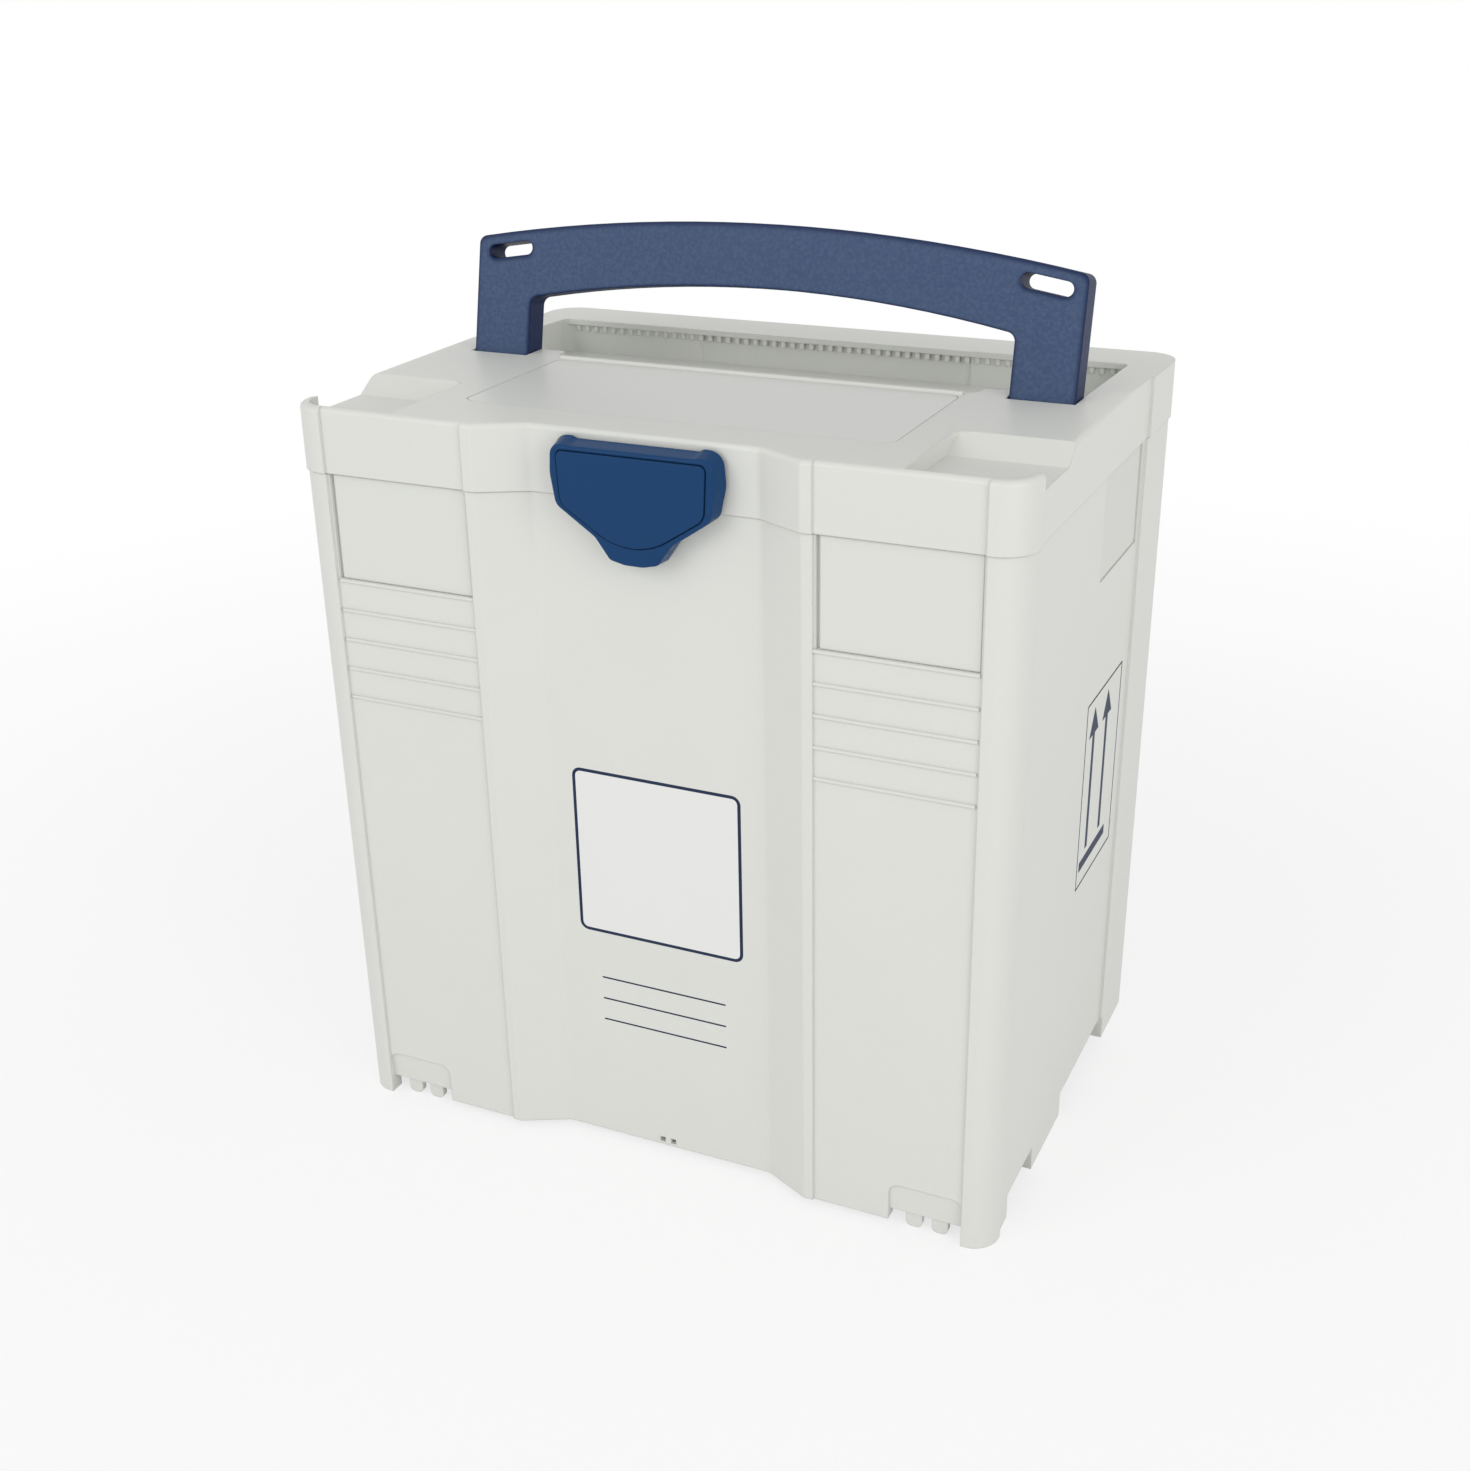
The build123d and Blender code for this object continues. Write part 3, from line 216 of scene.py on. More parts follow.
def flank_shade_effect():
    """Mask from the size of the softened normal's Y in the piece's own axes: nought on the front and back faces,
    one on the narrow sides, and a soft band where they meet; it places a painted shade on the sides."""
    tree, start, end = new_effect("shaded_flanks", [("Radius", "value", FLANK_RADIUS)], [("Mask", "value")])
    softened = add(tree, "ShaderNodeBevel", samples=8)
    join(tree, start.outputs["Radius"], softened.inputs["Radius"])
    own = add(tree, "ShaderNodeVectorTransform", vector_type="NORMAL", convert_from="WORLD", convert_to="OBJECT")
    join(tree, softened.outputs["Normal"], own.inputs["Vector"])
    split = add(tree, "ShaderNodeSeparateXYZ")
    join(tree, own.outputs["Vector"], split.inputs[0])
    facing = add(tree, "ShaderNodeMath", operation="ABSOLUTE")
    join(tree, split.outputs["Y"], facing.inputs[0])
    mask = remap(tree, facing.outputs[0], FLANK_STARTS, FLANK_IS_FULL, interpolation_type="SMOOTHSTEP")
    join(tree, mask, end.inputs["Mask"])
    return tree


shaded_flanks = flank_shade_effect()


# %% Uneven tone
def patina_effect():
    """Cloudy noise in the piece's own axes."""
    tree, start, end = new_effect("patina", [("Scale", "value", 14.0)], [("Cloud", "value")])
    place = add(tree, "ShaderNodeTexCoord")
    cloud = add(tree, "ShaderNodeTexNoise", Detail=5.0, Roughness=0.6)
    join(tree, place.outputs["Object"], cloud.inputs["Vector"])
    join(tree, start.outputs["Scale"], cloud.inputs["Scale"])
    join(tree, cloud.outputs["Fac"], end.inputs["Cloud"])
    return tree


patina = patina_effect()
print("effects:", [group.name for group in (mould_grain, worn_highlit_edges, shaded_flanks, patina)])

# %% [markdown]
# ## Moulded plastics
# The case is satin polypropylene, the handle the same material with a coarser leather-like grain, and the
# latch a smooth glossy blue. A plain colour with one roughness would look like paint, so one recipe makes them
# all: a base colour, a second tint that clouds and grain mix in, a paler tint on rubbed edges that is partly
# painted highlight, a painted shade on the flanks, and roughness and bump that follow the grain.

# %% Material helpers
def new_material(name):
    """Material with nodes: the material, its tree and its Principled shader."""
    material = bpy.data.materials.new(name)
    material.use_nodes = True
    return material, material.node_tree, material.node_tree.nodes["Principled BSDF"]


def mix_colour(tree, factor, first, second):
    """Colour socket that goes from first to second with the factor; each is a socket or plain (r, g, b)."""
    mixer = add(tree, "ShaderNodeMix", data_type="RGBA")
    join(tree, factor, mixer.inputs["Factor"])
    for title, colour in (("A", first), ("B", second)):
        if isinstance(colour, tuple):
            mixer.inputs[title].default_value = (*colour, 1)
        else:
            join(tree, colour, mixer.inputs[title])
    return mixer.outputs["Result"]


# %% Moulded plastic recipe
GRAIN_VALLEY, GRAIN_PEAK = 0.40, 0.66       # the grain's noise where its tint starts and where it is full


def moulded_plastic(name, colour, tint, worn_and_highlit, roughness, spread, grain, depth, swell=0.03, wear_and_highlight=0.5, mottle=0.0,
                    specular=0.5, flank_shade=None):
    """Principled plastic: colour + (tint - colour) (cloud (1 - mottle) + grain mottle), then the paler edge colour
    by the edge mask times its amount, for rubbed wear and painted edge highlights, then the painted shade colour
    of the flanks by the flank mask. Roughness is its mean plus or minus spread by the grain. The grain's size, its
    depth and its swell are in millimetres."""
    material, tree, shader = new_material(name)
    shader.inputs["Specular IOR Level"].default_value = specular
    age = add(tree, "ShaderNodeGroup", node_tree=patina)
    edges = add(tree, "ShaderNodeGroup", node_tree=worn_highlit_edges)
    texture = add(tree, "ShaderNodeGroup", node_tree=mould_grain)
    texture.inputs["Size"].default_value = grain * MM
    texture.inputs["Depth"].default_value = depth * MM
    texture.inputs["Swell"].default_value = swell * MM
    blotch = add(tree, "ShaderNodeMath", operation="MULTIPLY_ADD", use_clamp=True)
    blotch.inputs[1].default_value = 1 - mottle
    join(tree, age.outputs["Cloud"], blotch.inputs[0])
    join(tree, remap(tree, texture.outputs["Mask"], GRAIN_VALLEY, GRAIN_PEAK, high=mottle), blotch.inputs[2])
    # Paler edges: rubbed wear, and also a painted highlight along each edge.
    rubbed_highlight = add(tree, "ShaderNodeMath", operation="MULTIPLY")
    rubbed_highlight.inputs[1].default_value = wear_and_highlight
    join(tree, edges.outputs["Mask"], rubbed_highlight.inputs[0])
    painted = mix_colour(tree, blotch.outputs[0], colour, tint)
    painted = mix_colour(tree, rubbed_highlight.outputs[0], painted, worn_and_highlit)
    # Painted shade: the flank colour deepens the sides and slot walls that turn away from the front and back.
    if flank_shade:
        flank_shade_mask = add(tree, "ShaderNodeGroup", node_tree=shaded_flanks)
        painted = mix_colour(tree, flank_shade_mask.outputs["Mask"], painted, flank_shade)
    join(tree, painted, shader.inputs["Base Color"])
    gloss = remap(tree, texture.outputs["Mask"], low=roughness - spread, high=roughness + spread)
    join(tree, gloss, shader.inputs["Roughness"])
    bump = add(tree, "ShaderNodeBump", Strength=1.0, Distance=1.0)
    join(tree, texture.outputs["Height"], bump.inputs["Height"])
    join(tree, edges.outputs["Normal"], bump.inputs["Normal"])
    join(tree, bump.outputs["Normal"], shader.inputs["Normal"])
    return material


# %% Plastics of the case, its handle and its latch
case_grey = moulded_plastic(
    "case_grey", colour=(0.706, 0.712, 0.674), tint=(0.680, 0.688, 0.648), worn_and_highlit=(0.765, 0.77, 0.74),
    roughness=0.44, spread=0.05, grain=0.7, depth=0.012, wear_and_highlight=0.4)
# The handle's flank colour is a painted shade on its narrow sides and on the walls of its slots.
handle_blue = moulded_plastic(
    "handle_blue", colour=(0.037, 0.067, 0.146), tint=(0.064, 0.100, 0.188), worn_and_highlit=(0.10, 0.14, 0.26),
    roughness=0.50, spread=0.10, grain=2.0, depth=0.12, wear_and_highlight=0.6, mottle=0.7, specular=0.22,
    flank_shade=(0.004, 0.016, 0.066))
# The latch's paler edge colour is rubbed wear and also a painted highlight on its edges.
latch_blue = moulded_plastic(
    "latch_blue", colour=(0.011, 0.049, 0.138), tint=(0.013, 0.054, 0.150), worn_and_highlit=(0.04, 0.10, 0.24),
    roughness=0.24, spread=0.03, grain=0.5, depth=0.002, wear_and_highlight=0.4, specular=0.07)
plate_grey = moulded_plastic(
    "plate_grey", colour=(0.715, 0.722, 0.685), tint=(0.69, 0.697, 0.66), worn_and_highlit=(0.76, 0.76, 0.73),
    roughness=0.38, spread=0.04, grain=0.5, depth=0.006, wear_and_highlight=0.3)
card_grey = moulded_plastic(
    "card_grey", colour=(0.700, 0.708, 0.668), tint=(0.678, 0.686, 0.646), worn_and_highlit=(0.78, 0.79, 0.76),
    roughness=0.58, spread=0.05, grain=0.4, depth=0.010, wear_and_highlight=0.2)
print("case plastics:", [paint.name for paint in (case_grey, handle_blue, latch_blue, plate_grey, card_grey)])

# %% Plastics of what it carries, its printing and its seals
pack_blue = moulded_plastic(
    "pack_blue", colour=(0.09, 0.32, 0.60), tint=(0.11, 0.36, 0.64), worn_and_highlit=(0.3, 0.5, 0.72),
    roughness=0.3, spread=0.04, grain=0.8, depth=0.01)
container_white = moulded_plastic(
    "container_white", colour=(0.74, 0.77, 0.77), tint=(0.71, 0.75, 0.76), worn_and_highlit=(0.82, 0.84, 0.84),
    roughness=0.28, spread=0.04, grain=0.6, depth=0.006)
container_lid_blue = moulded_plastic(
    "container_lid_blue", colour=(0.03, 0.12, 0.36), tint=(0.04, 0.14, 0.40), worn_and_highlit=(0.12, 0.22, 0.45),
    roughness=0.3, spread=0.04, grain=0.6, depth=0.006)
ink_navy = moulded_plastic(
    "ink_navy", colour=(0.014, 0.026, 0.066), tint=(0.020, 0.034, 0.078), worn_and_highlit=(0.08, 0.10, 0.16),
    roughness=0.5, spread=0.06, grain=0.7, depth=0.010, wear_and_highlight=0.2, specular=0.15)
film_white = moulded_plastic(
    "film_white", colour=(0.775, 0.78, 0.765), tint=(0.755, 0.76, 0.745), worn_and_highlit=(0.80, 0.80, 0.79),
    roughness=0.40, spread=0.05, grain=0.7, depth=0.010, wear_and_highlight=0.2)
gasket_black = moulded_plastic(
    "gasket_black", colour=(0.03, 0.03, 0.032), tint=(0.04, 0.04, 0.042), worn_and_highlit=(0.08, 0.08, 0.08),
    roughness=0.6, spread=0.05, grain=0.3, depth=0.008)
print("materials so far:", len(bpy.data.materials))

# %% [markdown]
# ## Foam, felt and steel
# The liner is moulded from beads of foam that swell and weld together, so its skin is a pattern of rounded
# cells. Real cells could be modelled, but they would be thousands of tiny shapes, and a Voronoi pattern gives
# the same skin. The racks are cut from finer foam, the pad is felt, and the pins are drawn steel with fine
# scratches along one direction, which stretched noise draws.

# %% Beaded foam, felt and steel
SEAM_WIDTH = 0.25               # share of a bead that its border takes
BEAD_HEIGHT = 0.25 * MM
SCRATCHES = (40, 2500, 2500)    # scratches in each metre along X, Y and Z


def beaded_foam(name, colour, seam, bead):
    """Voronoi cells as beads: the distance to a cell's border is both the seam's shade and the bump's height. The
    bead's size is in millimetres."""
    material, tree, shader = new_material(name)
    shader.inputs["Roughness"].default_value = 0.8
    place = add(tree, "ShaderNodeTexCoord")
    cells = add(tree, "ShaderNodeTexVoronoi", feature="DISTANCE_TO_EDGE", Scale=1 / (bead * MM))
    join(tree, place.outputs["Object"], cells.inputs["Vector"])
    level = remap(tree, cells.outputs["Distance"], end=SEAM_WIDTH)
    join(tree, mix_colour(tree, level, seam, colour), shader.inputs["Base Color"])
    bump = add(tree, "ShaderNodeBump", Strength=0.7, Distance=BEAD_HEIGHT)
    join(tree, level, bump.inputs["Height"])
    join(tree, bump.outputs["Normal"], shader.inputs["Normal"])
    return material


def drawn_steel(name):
    """Metal whose noise is stretched along X, so the scratches run along the pins."""
    material, tree, shader = new_material(name)
    shader.inputs["Metallic"].default_value = 1.0
    place = add(tree, "ShaderNodeTexCoord")
    stretch = add(tree, "ShaderNodeMapping", Scale=SCRATCHES)
    join(tree, place.outputs["Object"], stretch.inputs["Vector"])
    scratches = add(tree, "ShaderNodeTexNoise", Scale=1.0, Detail=3.0)
    join(tree, stretch.outputs["Vector"], scratches.inputs["Vector"])
    shade = mix_colour(tree, scratches.outputs["Fac"], (0.50, 0.50, 0.51), (0.66, 0.66, 0.67))
    join(tree, shade, shader.inputs["Base Color"])
    join(tree, remap(tree, scratches.outputs["Fac"], low=0.22, high=0.42), shader.inputs["Roughness"])
    return material


liner_foam = beaded_foam("liner_foam", colour=(0.70, 0.73, 0.76), seam=(0.56, 0.59, 0.63), bead=3.4)
rack_foam = beaded_foam("rack_foam", colour=(0.10, 0.11, 0.125), seam=(0.06, 0.065, 0.075), bead=0.9)
felt = beaded_foam("felt", colour=(0.80, 0.80, 0.77), seam=(0.66, 0.66, 0.63), bead=0.5)
steel = drawn_steel("drawn_steel")

# %% Give each piece its finish
FINISHES = {
    case_grey: ["base_shell", "lid_shell"],
    handle_blue: ["carry_handle"],
    latch_blue: ["latch_knob", "latch_face_cap"],
    plate_grey: ["lid_label_plate"],
    card_grey: ["front_label_card_left", "front_label_card_right",
                "side_label_card_left", "side_label_card_right"],
    pack_blue: ["cool_pack_left", "cool_pack_right", "cool_pack_top"],
    container_white: ["secondary_container"],
    container_lid_blue: ["secondary_container_lid"],
    gasket_black: ["secondary_container_gasket"],
    liner_foam: ["insulating_liner", "lid_insulation_plug"],
    rack_foam: ["tube_rack_1", "tube_rack_2"],
    felt: ["absorbent_pad"],
    steel: ["hinge_pin_left", "hinge_pin_right", "handle_pin_left", "handle_pin_right", "latch_spring_washer",
            "latch_retaining_washer", "latch_screw"],
}
for finish, names in FINISHES.items():
    for name in names:
        nodes[name].data.materials.clear()
        nodes[name].data.materials.append(finish)
unfinished = set(nodes) - {name for names in FINISHES.values() for name in names}
print("pieces without a finish:", unfinished)

# %% [markdown]
# ## Rotary latch knob
# The knob is one blue moulding: a wide bar with two small ears at the back, tapering forward to a flat face with
# a groove round a separate cap, and hollow behind, where a hub and a spindle run through the lid. A subdivided
# box would need many edge loops to hold that outline. Instead the knob is a stack of closed outlines: each is a
# polygon with rounded corners in X and Z, placed at its own Y, and the surface is what joins each one to the
# next. Outlines that share their number of corners can be blended, so the ears fade out toward the face.

# %% Rounded polygon
CORNER_POINTS = 13      # on each arc of the latch's outlines


def rounded_polygon(corners, radii, count=CORNER_POINTS):
    """Points and outward normals of a polygon whose corners are arcs.

    At a corner P with unit vectors a, b to its neighbours and half angle h between them, the arc's centre is
    C = P + r / sin(h) (a + b) / |a + b|, it starts at S = P + a r / tan(h), ends at E = P + b r / tan(h) and turns
    through f = pi - 2 h. With s from 0 to 1, its points are
    C + (S - C) cos(f s) + (E - C - (S - C) cos f) / sin f sin(f s).
    """
    place = np.array(corners, float)
    radius = np.array(radii, float)[:, None]
    before = np.roll(place, 1, axis=0) - place
    after = np.roll(place, -1, axis=0) - place
    before /= np.linalg.norm(before, axis=1, keepdims=True)
    after /= np.linalg.norm(after, axis=1, keepdims=True)
    half = np.arccos(np.clip((before * after).sum(axis=1), -1, 1))[:, None] / 2
    middle = before + after
    middle /= np.linalg.norm(middle, axis=1, keepdims=True)
    centre = place + middle * radius / np.sin(half)
    start = place + before * radius / np.tan(half) - centre
    end = place + after * radius / np.tan(half) - centre
    turn = (np.pi - 2 * half)[:, None, :]
    s = np.linspace(0, 1, count)[None, :, None]
    across = (end - start * np.cos(turn[:, 0])) / np.sin(turn[:, 0])
    arm = start[:, None] * np.cos(turn * s) + across[:, None] * np.sin(turn * s)
    convex = np.sign(after[:, 0] * before[:, 1] - after[:, 1] * before[:, 0])[:, None, None]
    points = (centre[:, None] + arm).reshape(-1, 2)
    normals = (convex * arm / radius[:, None]).reshape(-1, 2)
    return points, normals


# %% Stack of outlines
MERGE_DISTANCE = 0.01 * MM


def stacked_mesh(name, rings, closed=False):
    """Mesh over an array of rings (count, points, 3): quads from each ring to the next; two flat ends, or the last
    ring joined to the first when closed."""
    rings = np.asarray(rings, float)
    levels, around = rings.shape[:2]
    index = np.arange(levels * around).reshape(levels, around)
    low = index if closed else index[:-1]
    high = np.roll(index, -1, axis=0)[:len(low)]
    quads = np.stack([low, np.roll(low, -1, axis=1), np.roll(high, -1, axis=1), high], axis=-1).reshape(-1, 4)
    ends = [] if closed else [index[0][::-1].tolist(), index[-1].tolist()]
    faces = quads.tolist() + ends
    mesh = bpy.data.meshes.new(name)
    mesh.from_pydata(rings.reshape(-1, 3).tolist(), [], faces)
    mesh.update()
    return mesh


def facing_out(mesh):
    """Merge points that coincide, turn every face outwards and shade smooth up to a set angle."""
    shape = bmesh.new()
    shape.from_mesh(mesh)
    bmesh.ops.remove_doubles(shape, verts=shape.verts, dist=MERGE_DISTANCE)
    bmesh.ops.recalc_face_normals(shape, faces=shape.faces)
    shape.to_mesh(mesh)
    shape.free()
    mesh.shade_smooth()
    mesh.set_sharp_from_angle(angle=SHARP_ANGLE)
    return mesh


def place_piece(name, mesh, material):
    """Object for a closed mesh, with its finish, linked into the scene."""
    piece = bpy.data.objects.new(name, facing_out(mesh))
    scene.collection.objects.link(piece)
    mesh.materials.append(material)
    return piece


# %% Outlines of the knob and its cap, in millimetres about the spindle
BACK_RIGHT = [(33.0, 19.0), (35.2, 20.2), (45.2, 20.2), (46.6, 3.5), (43.2, -11.8), (22.0, -26.2), (14.2, -37.6),
              (5.5, -40.6)]
BACK_RADII = [1.5, 1.5, 8.0, 20.0, 7.0, 9.0, 4.0, 14.0]
FACE_RIGHT = [(32.0, 17.2), (35.5, 17.4), (43.4, 17.6), (44.3, 3.0), (41.8, -12.8), (20.8, -27.0), (12.9, -37.8),
              (5.0, -39.6)]
FACE_RADII = [4.0, 4.0, 5.5, 20.0, 7.0, 9.0, 3.5, 14.0]
CAP = [(40.0, 14.7), (-40.0, 14.7), (-38.6, -11.6), (0.0, -36.6), (38.6, -11.6)]
CAP_RADII = [3.0, 3.0, 8.0, 34.0, 8.0]


def mirrored(corners, radii):
    """Right half of an outline and its mirror image, running once round counter-clockwise seen from the front."""
    left = [(-x, z) for x, z in reversed(corners)]
    return (list(corners) + left)[::-1], (list(radii) + list(radii)[::-1])[::-1]


def outline(corners, radii, straight=9, count=CORNER_POINTS):
    """Arcs of rounded_polygon with evenly spaced points along each straight side between them."""
    arcs, normals = (part.reshape(len(radii), count, 2) for part in rounded_polygon(corners, radii, count))
    share = np.linspace(0, 1, straight + 2)[None, 1:-1, None]
    runs = arcs[:, -1:] * (1 - share) + np.roll(arcs, -1, axis=0)[:, :1] * share
    run_normals = np.repeat(normals[:, -1:], straight, axis=1)
    points = np.concatenate([arcs, runs], axis=1).reshape(-1, 2)
    return points, np.concatenate([normals, run_normals], axis=1).reshape(-1, 2)


back, back_normal = outline(*mirrored(BACK_RIGHT, BACK_RADII))
face, face_normal = outline(*mirrored(FACE_RIGHT, FACE_RADII))
cap, cap_normal = outline(CAP, CAP_RADII)
fine_cap, fine_cap_normal = outline(CAP, CAP_RADII, straight=160, count=90)
print("points on the knob's outline:", len(back), "and on the cap's:", len(cap))

# %% Depths and radii of the latch, in millimetres, with Y growing toward the rear
SPINDLE_Z = 394 * MM    # height of the spindle's axis
SPINDLE_END, HUB_BACK, KNOB_BACK = -124.6, -135.3, -137.2
PLATE, CAP_SEAT, KNOB_FACE = -143.0, -146.0, -147.3
SPINDLE_RADIUS, SPINDLE_CHAMFER, HUB_RADIUS = 5.9, 0.4, 12.0
KNOB_WALL = 2.4
BACK_CHAMFER, SIDE_START, EDGE = 0.5, 1.5, 1.3
GROOVE, LIP, GROOVE_CHAMFER = 0.5, 0.85, 0.3
SIDE_LEVELS, EDGE_LEVELS = 6, 7


def at_depth(flat, y):
    """Points (x, z) about the spindle, in millimetres, as points in the scene at depth y."""
    return np.stack([flat[:, 0] * MM, np.full(len(flat), y * MM), flat[:, 1] * MM + SPINDLE_Z], axis=1)


def circle_like(points, radius):
    """Circle with the same number of points, each in the direction of its outline point."""
    return radius * points / np.linalg.norm(points, axis=1, keepdims=True)


def knob_side(y, inset):
    """Blend of back and face outlines at depth y, drawn in along the face's normals."""
    share = (y - KNOB_BACK - EDGE / 4) / (KNOB_FACE - KNOB_BACK)
    return back + (face - back) * np.clip(share, 0, 1) - face_normal * inset


def nearest_on(curve, points):
    """For each point, the closest point of a finely drawn closed curve: the least of |curve - point|."""
    gaps = ((points[:, None, :] - curve[None, :, :]) ** 2).sum(axis=-1)
    return curve[np.argmin(gaps, axis=1)]


print("knob depth in mm:", round(KNOB_BACK - KNOB_FACE, 1))

# %% Knob: a stack of outlines from the spindle's end to the cap's seat
spindle, hub = circle_like(back, SPINDLE_RADIUS), circle_like(back, HUB_RADIUS)
hollow = face - face_normal * KNOB_WALL
rings = [at_depth(circle_like(back, SPINDLE_RADIUS - SPINDLE_CHAMFER), SPINDLE_END),
         at_depth(spindle, SPINDLE_END - SPINDLE_CHAMFER), at_depth(spindle, HUB_BACK), at_depth(hub, HUB_BACK),
         at_depth(hub, PLATE), at_depth(hollow, PLATE), at_depth(hollow, KNOB_BACK),
         at_depth(back - back_normal * BACK_CHAMFER, KNOB_BACK), at_depth(back, KNOB_BACK - BACK_CHAMFER)]
rings += [at_depth(knob_side(y, 0), y) for y in np.linspace(KNOB_BACK - SIDE_START, KNOB_FACE + EDGE, SIDE_LEVELS)]
for angle in np.linspace(0, np.pi / 2, EDGE_LEVELS + 1)[1:]:
    rounding_y = KNOB_FACE + EDGE * (1 - math.sin(angle))
    rings.append(at_depth(knob_side(rounding_y, EDGE * (1 - math.cos(angle))), rounding_y))
rim = face - face_normal * EDGE
lip = nearest_on(fine_cap + fine_cap_normal * LIP, rim)
groove = nearest_on(fine_cap + fine_cap_normal * GROOVE, rim)
rings += [at_depth(lip, KNOB_FACE), at_depth(groove, KNOB_FACE + GROOVE_CHAMFER), at_depth(groove, CAP_SEAT)]


def latch_piece(name, rings, replaced=None):
    """Blue latch piece from its rings. It turns with the latch and, where one is named, hides the node that it
    stands in for.
    """
    mesh = stacked_mesh(name, rings)
    piece = place_piece(name, mesh, latch_blue)
    keep_walls_flat(piece)
    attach(piece, "latch")
    if replaced:
        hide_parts(replaced)
    print(name, "faces:", len(mesh.polygons))


latch_piece("latch_knob_moulding", rings, "latch_knob")

# %% [markdown]
# ## Cap and nose
# The cap is a thin panel pressed into the knob's face, so a groove shows all round it and its own edge is
# rounded. The nose is a short sector behind the knob that turns in under the base's lug and holds the lid
# down. Both could be cut from cylinders and boxes with booleans, but the same stack of outlines gives clean
# edges and keeps each a closed surface.

# %% Cap, with its own small rounded edge
CAP_FRONT, CAP_EDGE, CAP_LEVELS = -147.5, 0.5, 4
cap_depths = [(0.0, CAP_SEAT), (0.0, CAP_FRONT)]
cap_depths += [(CAP_EDGE * (1 - math.cos(angle)), CAP_FRONT - CAP_EDGE * math.sin(angle))
               for angle in np.linspace(0, np.pi / 2, CAP_LEVELS + 1)[1:]]
latch_piece("latch_cap_moulding", [at_depth(cap - cap_normal * inset, y) for inset, y in cap_depths],
            "latch_face_cap")

# %% Nose: two arcs about the spindle, one run back along the other
NOSE_OUTER, NOSE_INNER = 31.5, 28.0
NOSE_ANGLES, NOSE_POINTS = (-101, -79), 13
swing = np.radians(np.linspace(*NOSE_ANGLES, NOSE_POINTS))
direction = np.stack([np.cos(swing), np.sin(swing)], axis=1)
nose = np.concatenate([NOSE_OUTER * direction, NOSE_INNER * direction[::-1]])
latch_piece("latch_nose", [at_depth(nose, PLATE), at_depth(nose, HUB_BACK)])

# %% [markdown]
# ## Printed marks
# The front carries a blank framed field with three ruled lines under it, and the side a frame with two arrows
# that show which way is up. They could be painted into the case's material with masks, but a mask has no
# thickness and softens close up. Here each is a thin film of its own: a flat outline laid on the wall and given
# the thickness of an ink layer. The walls lean, so a film takes its depth from its height.

# %% Walls that the films lie on, in millimetres
SEAM = 382.0                    # height where the lid meets the base
BASE_INSET, DRAFT = 1.2, 2.2    # the base's wall behind the lid's at the seam, and how much more at the foot
RECESS_Y, SIDE_X = -135.0, 196.5
INK_THICKNESS, FIELD_THICKNESS = 0.08, 0.05


def behind_lid(z):
    """How far the base's wall lies behind the lid's at height z: the inset plus a share of the draft."""
    return BASE_INSET + DRAFT * (SEAM - z) / SEAM


def on_front(flat, lift):
    """Points (x, z) in millimetres on the front's centre recess, lifted off it."""
    y = RECESS_Y + behind_lid(flat[:, 1]) - lift
    return np.stack([flat[:, 0], y, flat[:, 1]], axis=1) * MM


def on_side(flat, lift):
    """Points (y, z) in millimetres on the right wall, lifted off it."""
    x = SIDE_X - behind_lid(flat[:, 1]) + lift
    return np.stack([x, flat[:, 0], flat[:, 1]], axis=1) * MM


# %% Films: a whole outline, or the line between two outlines
FILM_CORNER_POINTS = 7


def rectangle(flank_shade_mask, radius, grow=0.0):
    """Rectangle (left, right, bottom, top) with rounded corners, each side moved out by grow, as points."""
    left, right, bottom, top = flank_shade_mask
    low, high = (left - grow, bottom - grow), (right + grow, top + grow)
    return rounded_polygon([low, (high[0], low[1]), high, (low[0], high[1])], [radius] * 4, FILM_CORNER_POINTS)[0]


def film(name, rings, ink, closed=False):
    """Thin printed piece on the base."""
    piece = place_piece(name, stacked_mesh(name, rings, closed), ink)
    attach(piece, "base")


def patch(name, flat, wall, ink, lift=INK_THICKNESS):
    """Film over a whole outline: the outline on the wall, and the same outline lifted off it."""
    film(name, [wall(flat, 0), wall(flat, lift)], ink)


def frame_line(name, outer, inner, wall, ink, lift=INK_THICKNESS):
    """Film between two outlines: each of them on the wall and lifted, as a closed loop in section."""
    film(name, [wall(outer, 0), wall(outer, lift), wall(inner, lift), wall(inner, 0)], ink, closed=True)


# %% Front: blank field, its frame and the ruled lines
FIELD, FIELD_RADIUS = (-48, 48, 136, 232), 4.0
FRAME_OUT, FRAME_IN = 1.0, 0.8
RULES, RULE_HEIGHT = (106.0, 92.5, 79.0), 0.9
RULE_LEFT, RULE_RIGHT = -37, 38
INK_RADIUS = 0.3
patch("blank_field", rectangle(FIELD, FIELD_RADIUS), on_front, film_white, FIELD_THICKNESS)
frame_line("blank_field_frame", rectangle(FIELD, FIELD_RADIUS + FRAME_OUT, grow=FRAME_OUT),
           rectangle(FIELD, FIELD_RADIUS - FRAME_IN, grow=-FRAME_IN), on_front, ink_navy)
for number, height in enumerate(RULES, 1):
    rule = (RULE_LEFT, RULE_RIGHT, height, height + RULE_HEIGHT)
    patch(f"ruled_line_{number}", rectangle(rule, INK_RADIUS), on_front, ink_navy)
print("ruled lines:", len(RULES))

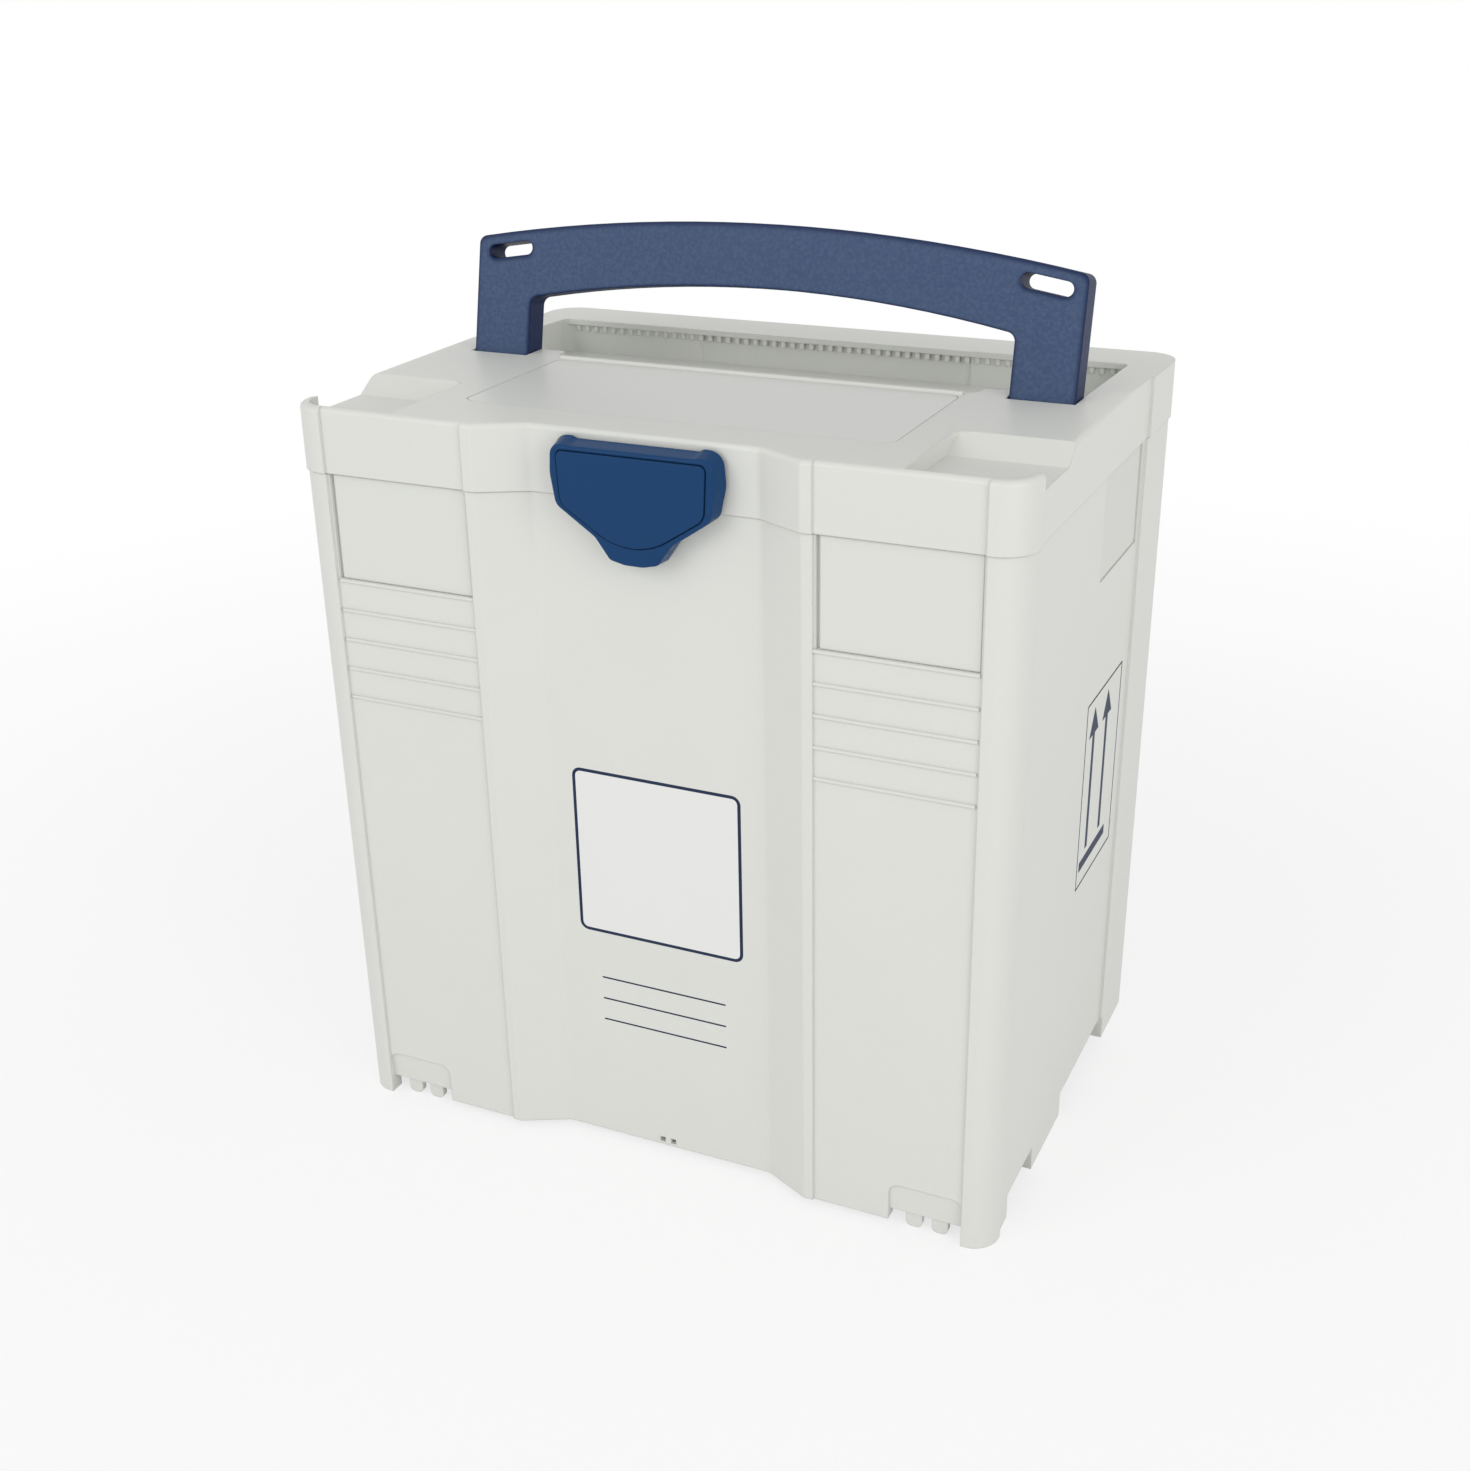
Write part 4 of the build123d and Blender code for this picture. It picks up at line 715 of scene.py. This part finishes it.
# %% Side: frame, two arrows and the bar they stand on
UP_FRAME, UP_LINE = (-9, 64, 147, 258), 1.1
UP_OUTER_RADIUS, UP_INNER_RADIUS = 1.0, 0.5
UP_BAR = (-4.5, 49, 156.8, 162.6)
ARROW = [(-2.3, 167.0), (2.3, 167.0), (2.3, 236.0), (9.4, 236.0), (0.0, 251.5), (-9.4, 236.0), (-2.3, 236.0)]
ARROW_MIDDLES, ARROW_RADII = (8.0, 35.5), [0.2] * len(ARROW)
frame_line("up_mark_frame", rectangle(UP_FRAME, UP_OUTER_RADIUS),
           rectangle(UP_FRAME, UP_INNER_RADIUS, grow=-UP_LINE), on_side, ink_navy)
patch("up_mark_bar", rectangle(UP_BAR, INK_RADIUS), on_side, ink_navy)
for number, middle in enumerate(ARROW_MIDDLES, 1):
    corners = [(middle + y, z) for y, z in ARROW]
    patch(f"up_arrow_{number}", rounded_polygon(corners, ARROW_RADII, count=4)[0], on_side, ink_navy)
print("arrows:", len(ARROW_MIDDLES))

# %% [markdown]
# ## Floor
# The case stands on a pale floor that carries its soft shadow. A curved sheet behind it is the usual studio
# backdrop, but it would show as a wall from the sides. A large flat floor that fades to white with distance
# looks endless from all round. Only the camera and reflections see it white; to every other ray it is pale
# grey paint, so it takes the shadow and adds no light of its own.

# %% Floor
FLOOR_HALF = 40.0
FADE_NEAR, FADE_FAR = 0.25, 1.4     # metres from the middle
NEAR_WHITE = 0.72                   # share of plain white at the near end of the fade


def floor_mesh(half):
    """Square sheet below the feet."""
    corners = np.array([[-half, -half, 0.0], [half, -half, 0.0], [half, half, 0.0], [-half, half, 0.0]])
    mesh = bpy.data.meshes.new("studio_floor")
    mesh.from_pydata(corners.tolist(), [], [[0, 1, 2, 3]])
    return mesh


def rays_that_see(tree):
    """One where a ray comes from the camera, a reflection or through glass, and nought for every other ray."""
    path = add(tree, "ShaderNodeLightPath")
    seen = add(tree, "ShaderNodeMath", operation="MAXIMUM")
    join(tree, path.outputs["Is Camera Ray"], seen.inputs[0])
    join(tree, path.outputs["Is Glossy Ray"], seen.inputs[1])
    through = add(tree, "ShaderNodeMath", operation="MAXIMUM")
    join(tree, seen.outputs[0], through.inputs[0])
    join(tree, path.outputs["Is Transmission Ray"], through.inputs[1])
    return through.outputs[0]


floor = bpy.data.objects.new("studio_floor", floor_mesh(FLOOR_HALF))
scene.collection.objects.link(floor)
floor_paint, paint, floor_shader = new_material("floor_paint")
floor_shader.inputs["Base Color"].default_value = (0.86, 0.86, 0.86, 1)
floor_shader.inputs["Roughness"].default_value = 0.9
ground = add(paint, "ShaderNodeTexCoord")
distance = add(paint, "ShaderNodeVectorMath", operation="LENGTH")
join(paint, ground.outputs["Object"], distance.inputs[0])
whiteness = remap(paint, distance.outputs["Value"], FADE_NEAR, FADE_FAR, low=NEAR_WHITE,
                  interpolation_type="SMOOTHSTEP")
share = add(paint, "ShaderNodeMath", operation="MULTIPLY")
join(paint, whiteness, share.inputs[0])
join(paint, rays_that_see(paint), share.inputs[1])
white = add(paint, "ShaderNodeEmission", Color=(1, 1, 1, 1))
blend = add(paint, "ShaderNodeMixShader")
join(paint, share.outputs[0], blend.inputs[0])
join(paint, floor_shader.outputs[0], blend.inputs[1])
join(paint, white.outputs[0], blend.inputs[2])
join(paint, blend.outputs[0], paint.nodes["Material Output"].inputs["Surface"])
floor.data.materials.append(floor_paint)
print("floor side in m:", 2 * FLOOR_HALF)

# %% [markdown]
# ## Light
# Even light shows a pale case best, and a little more from one side parts its walls. One lamp would leave the
# other walls dark, so the world fills most of the light, one large softbox stands at the front left and a
# second at the right. The world is white to the eye and a plain grey-white light to the object.

# %% World
WORLD_LIGHT = 0.70
world = bpy.data.worlds.new("studio_world")
scene.world = world
world.use_nodes = True
sky = world.node_tree
backdrop = sky.nodes["Background"]
backdrop.inputs["Color"].default_value = (1, 1, 1, 1)
join(sky, remap(sky, rays_that_see(sky), low=WORLD_LIGHT), backdrop.inputs["Strength"])
print("world light on the object:", WORLD_LIGHT)

# %% Softboxes
LOOK_AT = (0, 0, 0.22)


def softbox(name, place, size, power):
    """Square area lamp at a place, turned about X and then about Z so that its -Z looks at the case."""
    lamp = bpy.data.lights.new(name, "AREA")
    lamp.shape = "SQUARE"
    lamp.size = size
    lamp.energy = power
    holder = bpy.data.objects.new(name, lamp)
    scene.collection.objects.link(holder)
    way = np.array(LOOK_AT) - np.array(place)
    holder.location = place
    holder.rotation_euler = (math.acos(-way[2] / np.linalg.norm(way)), 0, math.atan2(way[1], way[0]) - math.pi / 2)
    print(name, "watts:", power)


softbox("key_softbox", place=(-1.0, -2.3, 1.45), size=1.6, power=16)
softbox("side_softbox", place=(2.0, -1.4, 1.1), size=1.4, power=15)

# %% [markdown]
# ## Camera
# The case is seen from its front right and from above, so that the front, the right side and the top all
# show. A camera could track a target, but its place and turn are written out here, because then the view is
# the same each time.

# %% Camera
CAMERA_PLACE = (0.4129, -0.9162, 0.6499)
CAMERA_TURN = (66.114, 0.868, 24.680)
LENS = 46.140
camera_data = bpy.data.cameras.new("camera")
camera_data.lens = LENS
camera_data.sensor_width = 36.0
camera_data.clip_start = 0.01
camera = bpy.data.objects.new("camera", camera_data)
scene.collection.objects.link(camera)
camera.location = CAMERA_PLACE
camera.rotation_euler = [math.radians(angle) for angle in CAMERA_TURN]
scene.camera = camera
scene.view_settings.view_transform = "Standard"
print("camera", CAMERA_PLACE, "lens", LENS)
